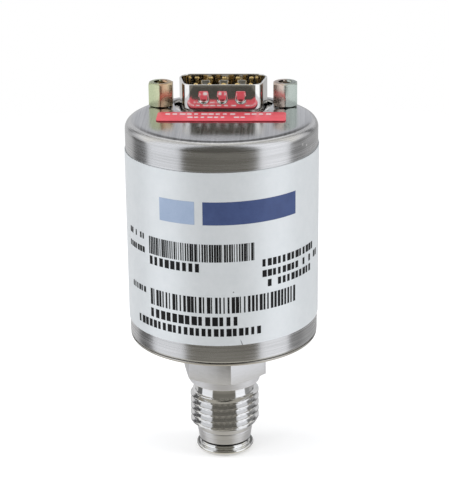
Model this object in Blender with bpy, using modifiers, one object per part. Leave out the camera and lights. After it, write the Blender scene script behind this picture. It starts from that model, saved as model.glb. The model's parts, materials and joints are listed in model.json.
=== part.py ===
"""Vacuum pressure switch: a capacitance sensor and its trip circuit in a stainless can.

Frame: metres, +Z up, -Y is the front. The origin is on the fitting's axis, at the crest of the
sealing bead, so the switch stands on its port. Heights are counted upwards from there: each piece
stands on the one below it, and the can closes over and round what it holds.
"""
import math

import bmesh
import bpy
from mathutils import Matrix, Vector

MM = 0.001

# Gaps between pieces that touch on the real switch
SEAT_GAP = 0.3 * MM
BORE_GAP = 0.2 * MM
FILM_GAP = 0.05 * MM

# Gland: sealing head with its bead, and the port tube
BEAD_HEIGHT = 0.5 * MM
BEAD_DIAMETER = 9.0 * MM
BEAD_WIDTH = 1.3 * MM
BEAD_LAND = 0.3 * MM
LIP_MARGIN = 0.8 * MM
LIP_HEIGHT = 0.75 * MM
LIP_EDGE_RADIUS = 0.26 * MM
LIP_OVERHANG = 1.0 * MM
NECK_FILLET = 0.3 * MM
HEAD_HEIGHT = 1.64 * MM
TUBE_DIAMETER = 6.35 * MM
TUBE_WALL = 0.89 * MM

# Male nut
NUT_BORE_GAP = 0.35 * MM
NOSE_DIAMETER = 11.3 * MM
NOSE_LENGTH = 3.75 * MM
THREAD_DIAMETER = 14.2 * MM
THREAD_LENGTH = 7.0 * MM
THREAD_CHAMFER = 0.9 * MM
UNDERCUT_DEPTH = 0.9 * MM
UNDERCUT_LENGTH = 2.4 * MM
COLLAR_DIAMETER = 14.7 * MM
COLLAR_LENGTH = 1.85 * MM
HEX_FLATS = 15.875 * MM
HEX_LENGTH = 5.6 * MM
HEX_CORNER = math.radians(-79.5)
NUT_EDGE = 0.4 * MM
NUT_TRAVEL = 3.2 * MM

# Base plate
BASE_INSET = 0.05 * MM
BASE_THICKNESS = 4.0 * MM
BASE_RIM_HEIGHT = 0.6 * MM
BASE_EDGE_RADIUS = 0.5 * MM
SPIGOT_EDGE = 0.3 * MM

# Cover: its bore clears the jackscrews' nuts, and its top lies on the connector's flange
COVER_WALL = 0.6 * MM
NUT_TO_COVER = 0.69 * MM
SHOULDER_RADIUS = 1.5 * MM
COVER_LIP_RADIUS = 0.2 * MM

# Labels
WRAP_HEIGHT = 35.15 * MM
WRAP_THICKNESS = 0.12 * MM
WRAP_ABOVE_EDGE = 3.65 * MM
WRAP_SKEW = math.radians(0.75)
WRAP_OPENING = math.radians(5.0)
STRIP_LENGTH = 25.4 * MM
STRIP_WIDTH = 6.2 * MM
STRIP_CORNER = 0.9 * MM
STRIP_THICKNESS = 0.2 * MM
STRIP_TO_CUTOUT = 0.7 * MM

# Nine-pin connector
CONNECTOR_OFFSET = 8.85 * MM
SHELL_OPENING = (16.92 * MM, 8.36 * MM)
SHELL_CORNER = 2.2 * MM
SHELL_WALL = 0.4 * MM
SHELL_RIM_EASE = 0.12 * MM
SHELL_ABOVE_FLANGE = 6.24 * MM
SHELL_FILLET = 0.7 * MM
SHELL_SLOPE = math.radians(10.0)
FLANGE_THICKNESS = 0.7 * MM
FLANGE_CORNER = 1.5 * MM
FLANGE_PAST_SCREW = 2.91 * MM
FLANGE_PAST_SHELL = 1.695 * MM
DIMPLE_PITCH = 3.7 * MM
DIMPLE_WIDTH = 2.0 * MM
DIMPLE_LENGTH = 3.4 * MM
DIMPLE_DEPTH = 0.6 * MM
DIMPLE_WALL = 0.25 * MM
DIMPLE_BELOW_RIM = 3.1 * MM
DIMPLE_TILT = math.radians(9.0)
CUTOUT_END_GAP = 1.34 * MM
CUTOUT_SIDE_GAP = 0.82 * MM
CUTOUT_CORNER_GAP = 0.4 * MM
INSULATOR_COLLAR = 0.8 * MM
INSULATOR_FOOT = 0.5 * MM
INSULATOR_DEPTH = 4.2 * MM
REAR_SHELL_WALL = 0.4 * MM
REAR_PIN_COUNT = 5
PIN_DIAMETER = 1.0 * MM
PIN_LENGTH = 4.9 * MM
PIN_PITCH = 2.77 * MM
PIN_ROW_GAP = 2.84 * MM
PIN_RECESS = 1.15 * MM
PIN_TIP_LENGTH = 0.3 * MM
TAIL_DIAMETER = 0.8 * MM
TAIL_BELOW_BOARD = 1.0 * MM

# Jackscrews and their nuts
JACKSCREW_SPACING = 24.99 * MM
JACKSCREW_FLATS = 4.76 * MM
JACKSCREW_HEIGHT = 4.55 * MM
JACKSCREW_HOLE = 2.5 * MM
JACKSCREW_HOLE_DEPTH = 3.8 * MM
STUD_DIAMETER = 2.84 * MM
CLINCH_NUT_DIAMETER = 4.9 * MM
CLINCH_NUT_HEIGHT = 3.0 * MM
CLINCH_NUT_EDGE = 0.3 * MM

# Capacitance sensor
SENSOR_WALL = 1.8 * MM
SENSOR_FLOOR = 3.4 * MM
SENSOR_SOCKET_DEPTH = 2.1 * MM
SENSOR_CAVITY = 2.6 * MM
SENSOR_EDGE = 0.4 * MM
DIAPHRAGM_THICKNESS = 0.15 * MM
RING_LEDGE_WIDTH = 0.9 * MM
RING_LEDGE_HEIGHT = 0.5 * MM
ELECTRODE_THICKNESS = 2.0 * MM
SPRING_WIDTH = 1.6 * MM
SPRING_THICKNESS = 0.25 * MM
SPRING_WAVE = 0.35 * MM
LID_THICKNESS = 1.8 * MM
BAFFLE_DIAMETER = 17.0 * MM
BAFFLE_THICKNESS = 0.4 * MM
BAFFLE_LEG = 0.7 * MM
BAFFLE_LEG_DIAMETER = 1.4 * MM
BAFFLE_LEG_INSET = 1.5 * MM
FEEDTHROUGH_SPACING = 9.0 * MM
FEEDTHROUGH_PIN = 0.9 * MM
FEEDTHROUGH_ABOVE_BOARD = 0.8 * MM
GLASS_DIAMETER = 2.6 * MM
PINCH_TUBE_DIAMETER = 3.0 * MM
PINCH_TUBE_BORE = 1.6 * MM
PINCH_TUBE_LENGTH = 3.6 * MM
PINCH_LENGTH = 1.2 * MM
PINCH_EDGE_WIDTH = 1.0 * MM
PINCH_TUBE_PLACE = 7.5 * MM
PINCH_TUBE_TO_BOARD = 1.0 * MM

# Circuit boards and what carries them
BOARD_THICKNESS = 1.6 * MM
BOARD_TO_COVER = 0.65 * MM
BOARD_TO_CONNECTOR = 2.55 * MM
PILLAR_FLATS = 3.0 * MM
PILLAR_TO_COVER = 0.68 * MM
PILLAR_STUD = 1.6 * MM
PILLAR_ENGAGEMENT = 2.2 * MM
PILLAR_START = math.radians(-30.0)
SCREW_HEAD_DIAMETER = 3.2 * MM
SCREW_HEAD_HEIGHT = 1.1 * MM
SCREW_HEAD_CROWN = 0.4 * MM

# Parts of the circuit
COMPARATOR_SIZE = (9.6 * MM, 6.4 * MM, 3.2 * MM)
COMPARATOR_TO_LEADS = 2.35 * MM
LINK_WIDTH = 9.0 * MM
LINK_DEPTH = 2.5 * MM
LINK_TO_COMPARATOR = 3.05 * MM
CAPACITOR_DIAMETER = 6.3 * MM
CAPACITOR_HEIGHT = 7.0 * MM
CAPACITOR_HEADROOM = 3.6 * MM
CAPACITOR_TO_LEADS = 3.4 * MM
REGULATOR_DIAMETER = 4.8 * MM
REGULATOR_HEIGHT = 4.6 * MM
REGULATOR_TO_CAPACITOR = 0.45 * MM
REGULATOR_BEHIND = 2.5 * MM
RELAY_SIZE = (13.0 * MM, 7.6 * MM, 5.8 * MM)
RELAY_TO_EDGE = 4.4 * MM
TRIM_POT_SIZE = (5.0 * MM, 5.0 * MM, 4.4 * MM)
TRIM_POT_TO_RELAY = 2.5 * MM
TRIM_POT_TO_SCREW = 0.9 * MM
TRIM_SLOT_SIZE = (2.4 * MM, 0.6 * MM)
TRIM_SLOT_DEPTH = 0.5 * MM
MOULDED_EDGE = 0.3 * MM

# Facets round each turned shape, and how far a cutter runs past the faces that it opens
ROUND_STEPS = 44
FITTING_STEPS = 26
SENSOR_STEPS = 24
SMALL_STEPS = 14
PIN_STEPS = 8
PAST = 1.0 * MM
MERGE = 0.001 * MM
CORNER_UP = math.radians(30.0)
CORNER_FRONT = math.radians(-90.0)

# Round sizes that follow from the sizes above
LIP_DIAMETER = BEAD_DIAMETER + BEAD_WIDTH + 2 * LIP_MARGIN
NECK_DIAMETER = LIP_DIAMETER - 2 * LIP_OVERHANG
TUBE_BORE = TUBE_DIAMETER - 2 * TUBE_WALL
UNDERCUT_DIAMETER = THREAD_DIAMETER - 2 * UNDERCUT_DEPTH
COVER_BORE = (math.hypot(JACKSCREW_SPACING / 2, CONNECTOR_OFFSET) + CLINCH_NUT_DIAMETER / 2
              + NUT_TO_COVER)
COVER_RADIUS = COVER_BORE + COVER_WALL
BOARD_RADIUS = COVER_BORE - BOARD_TO_COVER
PILLAR_CORNER = PILLAR_FLATS / 2 / math.cos(math.radians(30.0))
PILLAR_PLACE = COVER_BORE - PILLAR_TO_COVER - PILLAR_CORNER
SENSOR_RADIUS = PILLAR_PLACE - PILLAR_CORNER - SEAT_GAP
SENSOR_BORE = SENSOR_RADIUS - SENSOR_WALL
CUTOUT_SIZE = (SHELL_OPENING[0] + 2 * (SHELL_WALL + CUTOUT_END_GAP),
               SHELL_OPENING[1] + 2 * (SHELL_WALL + CUTOUT_SIDE_GAP))
CUTOUT_CORNER = SHELL_CORNER + SHELL_WALL + CUTOUT_CORNER_GAP
FLANGE_SIZE = (JACKSCREW_SPACING + 2 * FLANGE_PAST_SCREW,
               SHELL_OPENING[1] + 2 * (SHELL_WALL + FLANGE_PAST_SHELL))
INNER_SHOULDER = SHOULDER_RADIUS - COVER_WALL
COVER_AT_FLANGE = (COVER_BORE - INNER_SHOULDER
                   + math.sqrt(INNER_SHOULDER ** 2 - (INNER_SHOULDER - SEAT_GAP) ** 2))
FLANGE_REACH = COVER_AT_FLANGE - SEAT_GAP

# Heights that follow from the sizes above, from the bead up
BEAD_FACE = BEAD_HEIGHT
HEAD_TOP = BEAD_FACE + HEAD_HEIGHT
NUT_BOTTOM = HEAD_TOP + SEAT_GAP
THREAD_BOTTOM = NUT_BOTTOM + NOSE_LENGTH
THREAD_TOP = THREAD_BOTTOM + THREAD_LENGTH
COLLAR_BOTTOM = THREAD_TOP + UNDERCUT_LENGTH
HEX_BOTTOM = COLLAR_BOTTOM + COLLAR_LENGTH
NUT_TOP = HEX_BOTTOM + HEX_LENGTH
BASE_BOTTOM = NUT_TOP + NUT_TRAVEL
BASE_RIM_TOP = BASE_BOTTOM + BASE_RIM_HEIGHT
BASE_TOP = BASE_BOTTOM + BASE_THICKNESS
COVER_EDGE = BASE_RIM_TOP + SEAT_GAP
SENSOR_BOTTOM = BASE_TOP + SEAT_GAP
SENSOR_FLOOR_TOP = SENSOR_BOTTOM + SENSOR_FLOOR
SENSOR_HOUSING_TOP = SENSOR_FLOOR_TOP + SENSOR_CAVITY
DIAPHRAGM_BOTTOM = SENSOR_HOUSING_TOP + SEAT_GAP
RING_BOTTOM = DIAPHRAGM_BOTTOM + DIAPHRAGM_THICKNESS + SEAT_GAP
LEDGE_TOP = RING_BOTTOM + RING_LEDGE_HEIGHT
ELECTRODE_BOTTOM = LEDGE_TOP + SEAT_GAP
ELECTRODE_TOP = ELECTRODE_BOTTOM + ELECTRODE_THICKNESS
SPRING_MIDDLE = ELECTRODE_TOP + SEAT_GAP + SPRING_WAVE + SPRING_THICKNESS / 2
LID_BOTTOM = SPRING_MIDDLE + SPRING_WAVE + SPRING_THICKNESS / 2 + SEAT_GAP
RING_TOP = LID_BOTTOM - SEAT_GAP
LID_TOP = LID_BOTTOM + LID_THICKNESS
LOWER_BOARD_BOTTOM = LID_TOP + PINCH_TUBE_LENGTH + PINCH_TUBE_TO_BOARD
LOWER_BOARD_TOP = LOWER_BOARD_BOTTOM + BOARD_THICKNESS
UPPER_BOARD_BOTTOM = LOWER_BOARD_TOP + SEAT_GAP + CAPACITOR_HEIGHT + CAPACITOR_HEADROOM
UPPER_BOARD_TOP = UPPER_BOARD_BOTTOM + BOARD_THICKNESS
REAR_SHELL_BOTTOM = UPPER_BOARD_TOP + BOARD_TO_CONNECTOR
INSULATOR_BOTTOM = REAR_SHELL_BOTTOM + REAR_SHELL_WALL + SEAT_GAP
REAR_FLANGE_TOP = INSULATOR_BOTTOM + INSULATOR_DEPTH
REAR_FLANGE_BOTTOM = REAR_FLANGE_TOP - FLANGE_THICKNESS
FLANGE_BOTTOM = REAR_FLANGE_TOP + SEAT_GAP
FLANGE_TOP = FLANGE_BOTTOM + FLANGE_THICKNESS
COVER_INSIDE = FLANGE_TOP + SEAT_GAP
COVER_TOP = COVER_INSIDE + COVER_WALL
RIM_TOP = FLANGE_TOP + SHELL_ABOVE_FLANGE
PIN_TIP = RIM_TOP - PIN_RECESS
INSULATOR_FACE = PIN_TIP - PIN_LENGTH
CLINCH_NUT_TOP = REAR_FLANGE_BOTTOM - SEAT_GAP
CLINCH_NUT_BOTTOM = CLINCH_NUT_TOP - CLINCH_NUT_HEIGHT


def clear_scene():
    for item in list(bpy.data.objects):
        bpy.data.objects.remove(item, do_unlink=True)


clear_scene()
parts = bpy.data.collections.new("vacuum_pressure_switch")
cutters = bpy.data.collections.new("cutters")
bpy.context.scene.collection.children.link(parts)
bpy.context.scene.collection.children.link(cutters)


def finish(name, colour, roughness, metallic):
    material = bpy.data.materials.new(name)
    material.use_nodes = True
    shader = material.node_tree.nodes["Principled BSDF"]
    shader.inputs["Base Color"].default_value = (*colour, 1.0)
    shader.inputs["Roughness"].default_value = roughness
    shader.inputs["Metallic"].default_value = metallic
    material.diffuse_color = (*colour, 1.0)
    return material


FINISHES = {
    "brushed_steel": ((0.60, 0.60, 0.61), 0.35, 1.0),
    "turned_steel": ((0.66, 0.66, 0.68), 0.22, 1.0),
    "polished_steel": ((0.72, 0.72, 0.73), 0.10, 1.0),
    "tin_plate": ((0.80, 0.80, 0.79), 0.15, 1.0),
    "zinc_chromate": ((0.66, 0.62, 0.42), 0.25, 1.0),
    "gold_plate": ((0.83, 0.66, 0.30), 0.20, 1.0),
    "brass": ((0.72, 0.56, 0.28), 0.30, 1.0),
    "copper": ((0.72, 0.42, 0.28), 0.30, 1.0),
    "label_film": ((0.73, 0.75, 0.77), 0.45, 0.0),
    "red_film": ((0.62, 0.06, 0.08), 0.40, 0.0),
    "black_plastic": ((0.03, 0.03, 0.03), 0.45, 0.0),
    "blue_plastic": ((0.05, 0.15, 0.45), 0.40, 0.0),
    "green_laminate": ((0.05, 0.25, 0.10), 0.45, 0.0),
    "ceramic": ((0.85, 0.83, 0.78), 0.60, 0.0),
    "glass": ((0.10, 0.25, 0.22), 0.10, 0.0),
}


def add_part(piece, finish_name):
    """Puts a piece in the part's collection, with a material of its own."""
    for collection in list(piece.users_collection):
        collection.objects.unlink(piece)
    parts.objects.link(piece)
    colour, roughness, metallic = FINISHES[finish_name]
    piece.data.materials.clear()
    piece.data.materials.append(finish(piece.name + "_" + finish_name, colour, roughness, metallic))
    return piece


def add_cutter(piece):
    for collection in list(piece.users_collection):
        collection.objects.unlink(piece)
    cutters.objects.link(piece)
    piece.hide_render = True
    piece.display_type = 'WIRE'
    return piece


def mesh_object(name, build):
    """A new object whose mesh is filled by build(bmesh)."""
    mesh = bpy.data.meshes.new(name)
    shape = bmesh.new()
    build(shape)
    shape.to_mesh(mesh)
    shape.free()
    return bpy.data.objects.new(name, mesh)


def smooth(piece, angle=35.0):
    piece.data.shade_smooth()
    piece.data.set_sharp_from_angle(angle=math.radians(angle))
    return piece


def turned(name, profile, steps=ROUND_STEPS, place=(0.0, 0.0)):
    """A solid of revolution about the vertical line through place.

    profile lists (radius, height), down the outer side first. A profile whose two ends are on
    the axis is a solid, and any other is closed into a ring.
    """
    solid = profile[0][0] == 0.0 and profile[-1][0] == 0.0

    def build(shape):
        chain = [shape.verts.new((radius, 0.0, height)) for radius, height in profile]
        for first, second in zip(chain, chain[1:]):
            shape.edges.new((first, second))
        if not solid:
            shape.edges.new((chain[-1], chain[0]))

    piece = mesh_object(name, build)
    piece.location = (place[0], place[1], 0.0)
    screw = piece.modifiers.new("turn", 'SCREW')
    screw.axis = 'Z'
    screw.steps = steps
    screw.render_steps = steps
    screw.use_merge_vertices = True
    screw.merge_threshold = MERGE
    screw.use_smooth_shade = True
    return piece


def boolean(piece, cutter, operation='DIFFERENCE'):
    step = piece.modifiers.new(operation.lower() + "_" + cutter.name, 'BOOLEAN')
    step.operation = operation
    step.object = cutter
    step.solver = 'EXACT'
    return piece


def drill(name, diameter, bottom, top, place=(0.0, 0.0), steps=SMALL_STEPS):
    """A cutter for a round hole between two heights."""
    def build(shape):
        middle = Matrix.Translation((0.0, 0.0, (bottom + top) / 2))
        bmesh.ops.create_cone(shape, cap_ends=True, segments=steps, radius1=diameter / 2,
                              radius2=diameter / 2, depth=top - bottom, matrix=middle)

    piece = mesh_object(name, build)
    piece.location = (place[0], place[1], 0.0)
    return add_cutter(piece)


def drill_through(piece, name, diameter, bottom, top, place, steps=SMALL_STEPS):
    """Cuts a round hole right through a piece that lies between two heights."""
    return boolean(piece, drill(name, diameter, bottom - PAST, top + PAST, place, steps))


def cylinder(name, diameter, bottom, top, place=(0.0, 0.0), steps=SMALL_STEPS):
    radius = diameter / 2
    return turned(name, [(0.0, top), (radius, top), (radius, bottom), (0.0, bottom)], steps, place)


def arc(centre, radius, start, end, steps):
    """Points (r, z) on an arc, angles in degrees from +r towards +z."""
    points = []
    for index in range(steps + 1):
        angle = math.radians(start + (end - start) * index / steps)
        points.append((centre[0] + radius * math.cos(angle), centre[1] + radius * math.sin(angle)))
    return points


def prism(name, outline, bottom, top, place=(0.0, 0.0)):
    """A flat outline, extruded between two heights."""
    curve = bpy.data.curves.new(name, 'CURVE')
    curve.dimensions = '2D'
    curve.fill_mode = 'BOTH'
    curve.extrude = (top - bottom) / 2
    spline = curve.splines.new('POLY')
    spline.points.add(len(outline) - 1)
    for point, (x, y) in zip(spline.points, outline):
        point.co = (x, y, 0.0, 1.0)
    spline.use_cyclic_u = True
    guide = bpy.data.objects.new(name + "_outline", curve)
    guide.location = (place[0], place[1], (bottom + top) / 2)
    cutters.objects.link(guide)
    bpy.context.view_layer.update()
    mesh = bpy.data.meshes.new_from_object(guide.evaluated_get(bpy.context.evaluated_depsgraph_get()))
    shape = bmesh.new()
    shape.from_mesh(mesh)
    bmesh.ops.remove_doubles(shape, verts=shape.verts, dist=MERGE)
    shape.to_mesh(mesh)
    shape.free()
    piece = bpy.data.objects.new(name, mesh)
    piece.matrix_world = guide.matrix_world
    bpy.data.objects.remove(guide, do_unlink=True)
    bpy.data.curves.remove(curve)
    return piece


def box(name, size, bottom, place=(0.0, 0.0), bevel=0.0):
    """An upright block that stands at a height, with rounded edges if bevel is given."""
    def build(shape):
        scale = Matrix.Diagonal((size[0], size[1], size[2], 1.0))
        middle = Matrix.Translation((0.0, 0.0, bottom + size[2] / 2))
        bmesh.ops.create_cube(shape, size=1.0, matrix=middle @ scale)

    piece = mesh_object(name, build)
    piece.location = (place[0], place[1], 0.0)
    if bevel > 0.0:
        round_edges = piece.modifiers.new("round_edges", 'BEVEL')
        round_edges.width = bevel
        round_edges.segments = 1
    return piece


def rounded_rectangle(length, width, corner, steps=3):
    outline = []
    for quarter, (sx, sy) in enumerate(((1, 1), (-1, 1), (-1, -1), (1, -1))):
        centre = (sx * (length / 2 - corner), sy * (width / 2 - corner))
        outline += arc(centre, corner, 90.0 * quarter, 90.0 * quarter + 90.0, steps)
    return outline


def d_outline(size, corner, offset=0.0, steps=3):
    """The connector's D: a trapezium with round corners, its wide side at the back (+Y).

    offset moves the outline outwards all round.
    """
    width, depth = size
    wide = width / 2 - corner
    reach = depth / 2 - corner
    narrow = wide - 2 * reach * math.tan(SHELL_SLOPE)
    slope = math.degrees(SHELL_SLOPE)
    radius = corner + offset
    outline = arc((wide, reach), radius, -slope, 90.0, steps)
    outline += arc((-wide, reach), radius, 90.0, 180.0 + slope, steps)
    outline += arc((-narrow, -reach), radius, 180.0 + slope, 270.0, steps)
    outline += arc((narrow, -reach), radius, 270.0, 360.0 - slope, steps)
    return outline


def loft(name, sections, place=(0.0, 0.0)):
    """A ring-shaped solid through sections of (outline, height), joined end to start."""
    def build(shape):
        rings = []
        for outline, height in sections:
            rings.append([shape.verts.new((x, y, height)) for x, y in outline])
        count = len(rings[0])
        for ring, following in zip(rings, rings[1:] + rings[:1]):
            for index in range(count):
                after = (index + 1) % count
                shape.faces.new((ring[index], following[index], following[after], ring[after]))

    piece = mesh_object(name, build)
    piece.location = (place[0], place[1], 0.0)
    return piece


def hexagon(name, flats, bottom, top, turn, place=(0.0, 0.0)):
    """A plain hexagonal bar with a corner at the angle turn from +X."""
    def build(shape):
        middle = Matrix.Translation((0.0, 0.0, (bottom + top) / 2)) @ Matrix.Rotation(turn, 4, 'Z')
        corner_radius = flats / 2 / math.cos(math.radians(30.0))
        bmesh.ops.create_cone(shape, cap_ends=True, segments=6, radius1=corner_radius,
                              radius2=corner_radius, depth=top - bottom, matrix=middle)

    piece = mesh_object(name, build)
    piece.location = (place[0], place[1], 0.0)
    return piece


def chamfer_blank(name, flats, bottom, top, steps, place=(0.0, 0.0)):
    """The turned blank that a hexagon's corners are chamfered to, 30 degrees at both ends."""
    reach = flats / 2 / math.cos(math.radians(30.0)) + PAST
    face = flats / 2 - BORE_GAP
    drop = (reach - face) * math.tan(math.radians(30.0))
    profile = [(0.0, top), (face, top), (reach, top - drop), (reach, bottom + drop),
               (face, bottom), (0.0, bottom)]
    return add_cutter(turned(name, profile, steps, place))


def make_gland():
    """Sealing head with a rounded bead and a polished lip, and the port tube above it."""
    lip = LIP_DIAMETER / 2
    neck = NECK_DIAMETER / 2
    tube = TUBE_DIAMETER / 2
    tube_top = SENSOR_BOTTOM + SENSOR_SOCKET_DEPTH - SEAT_GAP
    lip_top = BEAD_FACE + LIP_HEIGHT
    edge = lip - LIP_EDGE_RADIUS
    profile = [(tube, tube_top), (tube, HEAD_TOP), (neck + NECK_FILLET, HEAD_TOP)]
    profile += [(neck, HEAD_TOP - NECK_FILLET), (neck, lip_top + NECK_FILLET)]
    profile += [(neck + NECK_FILLET, lip_top)]
    profile += arc((edge, lip_top - LIP_EDGE_RADIUS), LIP_EDGE_RADIUS, 90.0, 0.0, 2)
    profile += arc((edge, BEAD_FACE + LIP_EDGE_RADIUS), LIP_EDGE_RADIUS, 0.0, -90.0, 2)
    flank = []
    for angle in (0.0, math.radians(45.0)):
        flank.append((BEAD_WIDTH / 2 * math.cos(angle), BEAD_HEIGHT * (1.0 - math.sin(angle))))
    flank.append((BEAD_LAND / 2, 0.0))
    profile += [(BEAD_DIAMETER / 2 + out, height) for out, height in flank]
    profile += [(BEAD_DIAMETER / 2 - out, height) for out, height in reversed(flank)]
    profile += [(TUBE_BORE / 2, BEAD_FACE), (TUBE_BORE / 2, tube_top)]
    return add_part(turned("gland", profile, FITTING_STEPS), "polished_steel")


def make_male_nut():
    """Male nut: hexagon, collar, undercut, thread and nose on one bore that turns on the gland."""
    nose = NOSE_DIAMETER / 2
    thread = THREAD_DIAMETER / 2
    undercut = UNDERCUT_DIAMETER / 2
    collar = COLLAR_DIAMETER / 2
    inside_hex = HEX_BOTTOM + HEX_LENGTH / 2
    profile = [(0.0, inside_hex), (collar, inside_hex), (collar, COLLAR_BOTTOM + NUT_EDGE)]
    profile += [(collar - NUT_EDGE, COLLAR_BOTTOM), (undercut, COLLAR_BOTTOM)]
    profile += [(undercut, THREAD_TOP + NUT_EDGE), (thread, THREAD_TOP)]
    profile += [(thread, THREAD_BOTTOM + THREAD_CHAMFER), (nose, THREAD_BOTTOM)]
    profile += [(nose, NUT_BOTTOM + NUT_EDGE / 2), (nose - NUT_EDGE / 2, NUT_BOTTOM)]
    profile += [(0.0, NUT_BOTTOM)]
    shank = add_cutter(turned("nut_shank", profile, FITTING_STEPS))
    piece = hexagon("male_nut", HEX_FLATS, HEX_BOTTOM, NUT_TOP, HEX_CORNER)
    add_part(piece, "turned_steel")
    blank = chamfer_blank("nut_blank", HEX_FLATS, HEX_BOTTOM, NUT_TOP, FITTING_STEPS)
    boolean(piece, blank, 'INTERSECT')
    boolean(piece, shank, 'UNION')
    bore = TUBE_DIAMETER + 2 * NUT_BORE_GAP
    drill_through(piece, "nut_bore", bore, NUT_BOTTOM, NUT_TOP, (0.0, 0.0), FITTING_STEPS)
    return piece


def make_base():
    """Closing plate: a rim with a rounded edge below the can, and a spigot inside it."""
    rim = COVER_RADIUS - BASE_INSET
    edge = min(BASE_EDGE_RADIUS, 0.9 * BASE_RIM_HEIGHT)
    spigot = COVER_BORE - SEAT_GAP
    bore = TUBE_DIAMETER / 2 + SEAT_GAP
    profile = [(spigot - SPIGOT_EDGE, BASE_TOP), (spigot, BASE_TOP - SPIGOT_EDGE)]
    profile += [(spigot, BASE_RIM_TOP), (rim, BASE_RIM_TOP)]
    profile += arc((rim - edge, BASE_BOTTOM + edge), edge, 0.0, -90.0, 2)
    profile += [(bore, BASE_BOTTOM), (bore, BASE_TOP)]
    piece = add_part(turned("base", profile), "brushed_steel")
    hole_bottom = BASE_TOP - PILLAR_ENGAGEMENT - SEAT_GAP
    for number, place in enumerate(pillar_places(), 1):
        hole = drill("base_hole_%d" % number, PILLAR_STUD + 2 * BORE_GAP, hole_bottom,
                     BASE_TOP + PAST, place, PIN_STEPS)
        boolean(piece, hole)
    return piece


def make_cover():
    """Drawn can, open below, with the connector's cut-out and two jackscrew holes."""
    lip = COVER_RADIUS - COVER_LIP_RADIUS
    profile = [(0.0, COVER_TOP)]
    profile += arc((COVER_RADIUS - SHOULDER_RADIUS, COVER_TOP - SHOULDER_RADIUS), SHOULDER_RADIUS,
                   90.0, 0.0, 4)
    profile += [(COVER_RADIUS, COVER_EDGE + COVER_LIP_RADIUS), (lip, COVER_EDGE)]
    profile += [(COVER_BORE, COVER_EDGE)]
    profile += arc((COVER_BORE - INNER_SHOULDER, COVER_INSIDE - INNER_SHOULDER), INNER_SHOULDER,
                   0.0, 90.0, 2)
    profile += [(0.0, COVER_INSIDE)]
    piece = add_part(turned("cover", profile), "brushed_steel")
    outline = d_outline(CUTOUT_SIZE, CUTOUT_CORNER)
    cutout = prism("cover_cutout", outline, COVER_INSIDE - PAST, COVER_TOP + PAST,
                   (0.0, CONNECTOR_OFFSET))
    boolean(piece, add_cutter(cutout))
    for side, place in jackscrew_places():
        drill_through(piece, "cover_hole_" + side, STUD_DIAMETER + 2 * BORE_GAP, COVER_INSIDE,
                      COVER_TOP, place)
    return piece


def make_wrap_label():
    """Film wound round the can from back to back, rising slightly to the right.

    Its columns stand on the can's own facets, so that the film keeps its distance to them.
    """
    radius = COVER_RADIUS + FILM_GAP
    bottom = COVER_EDGE + WRAP_ABOVE_EDGE
    back = math.radians(90.0)
    front = math.radians(270.0)
    first = back + WRAP_OPENING / 2
    last = back + 2 * math.pi - WRAP_OPENING / 2
    step = 2 * math.pi / ROUND_STEPS
    turns = range(int(first / step) + 1, int(last / step) + 1)
    angles = [first] + [number * step for number in turns] + [last]

    def build(shape):
        columns = []
        for angle in angles:
            rise = radius * (angle - front) * math.tan(WRAP_SKEW)
            x = radius * math.cos(angle)
            y = radius * math.sin(angle)
            low = shape.verts.new((x, y, bottom + rise))
            high = shape.verts.new((x, y, bottom + WRAP_HEIGHT + rise))
            columns.append((low, high))
        for (low, high), (next_low, next_high) in zip(columns, columns[1:]):
            shape.faces.new((low, next_low, next_high, high))

    piece = mesh_object("wrap_label", build)
    add_part(piece, "label_film")
    film = piece.modifiers.new("film_thickness", 'SOLIDIFY')
    film.thickness = WRAP_THICKNESS
    film.offset = 1.0
    return smooth(piece)


def make_strip_label():
    """Red strip in front of the connector, a film with round corners."""
    back_edge = CONNECTOR_OFFSET - CUTOUT_SIZE[1] / 2 - STRIP_TO_CUTOUT
    place = (0.0, back_edge - STRIP_WIDTH / 2)
    bottom = COVER_TOP + FILM_GAP
    outline = rounded_rectangle(STRIP_LENGTH, STRIP_WIDTH, STRIP_CORNER)
    piece = prism("strip_label", outline, bottom, bottom + STRIP_THICKNESS, place)
    return add_part(piece, "red_film")


def flange_plate(name, bottom, top):
    """A connector flange, trimmed to a round edge where the can leaves it no room."""
    outline = rounded_rectangle(FLANGE_SIZE[0], FLANGE_SIZE[1], FLANGE_CORNER)
    piece = prism(name, outline, bottom, top, (0.0, CONNECTOR_OFFSET))
    trim = drill(name + "_trim", 2 * FLANGE_REACH, bottom - PAST, top + PAST, steps=ROUND_STEPS)
    boolean(piece, trim, 'INTERSECT')
    for side, place in jackscrew_places():
        hole = "%s_hole_%s" % (name, side)
        drill_through(piece, hole, STUD_DIAMETER + 2 * BORE_GAP, bottom, top, place)
    return piece


def make_dimple(name, x, wall, inwards, size):
    """A slanted ellipsoid that presses one dimple into a shell wall."""
    def build(shape):
        bmesh.ops.create_uvsphere(shape, u_segments=8, v_segments=6, radius=1.0)

    piece = mesh_object(name, build)
    piece.data.transform(Matrix.Diagonal((size[0], size[1], size[2], 1.0)))
    turn = Matrix.Rotation(-inwards * DIMPLE_TILT, 4, 'X')
    piece.matrix_world = Matrix.Translation((x, wall, RIM_TOP - DIMPLE_BELOW_RIM)) @ turn
    return add_cutter(piece)


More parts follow.
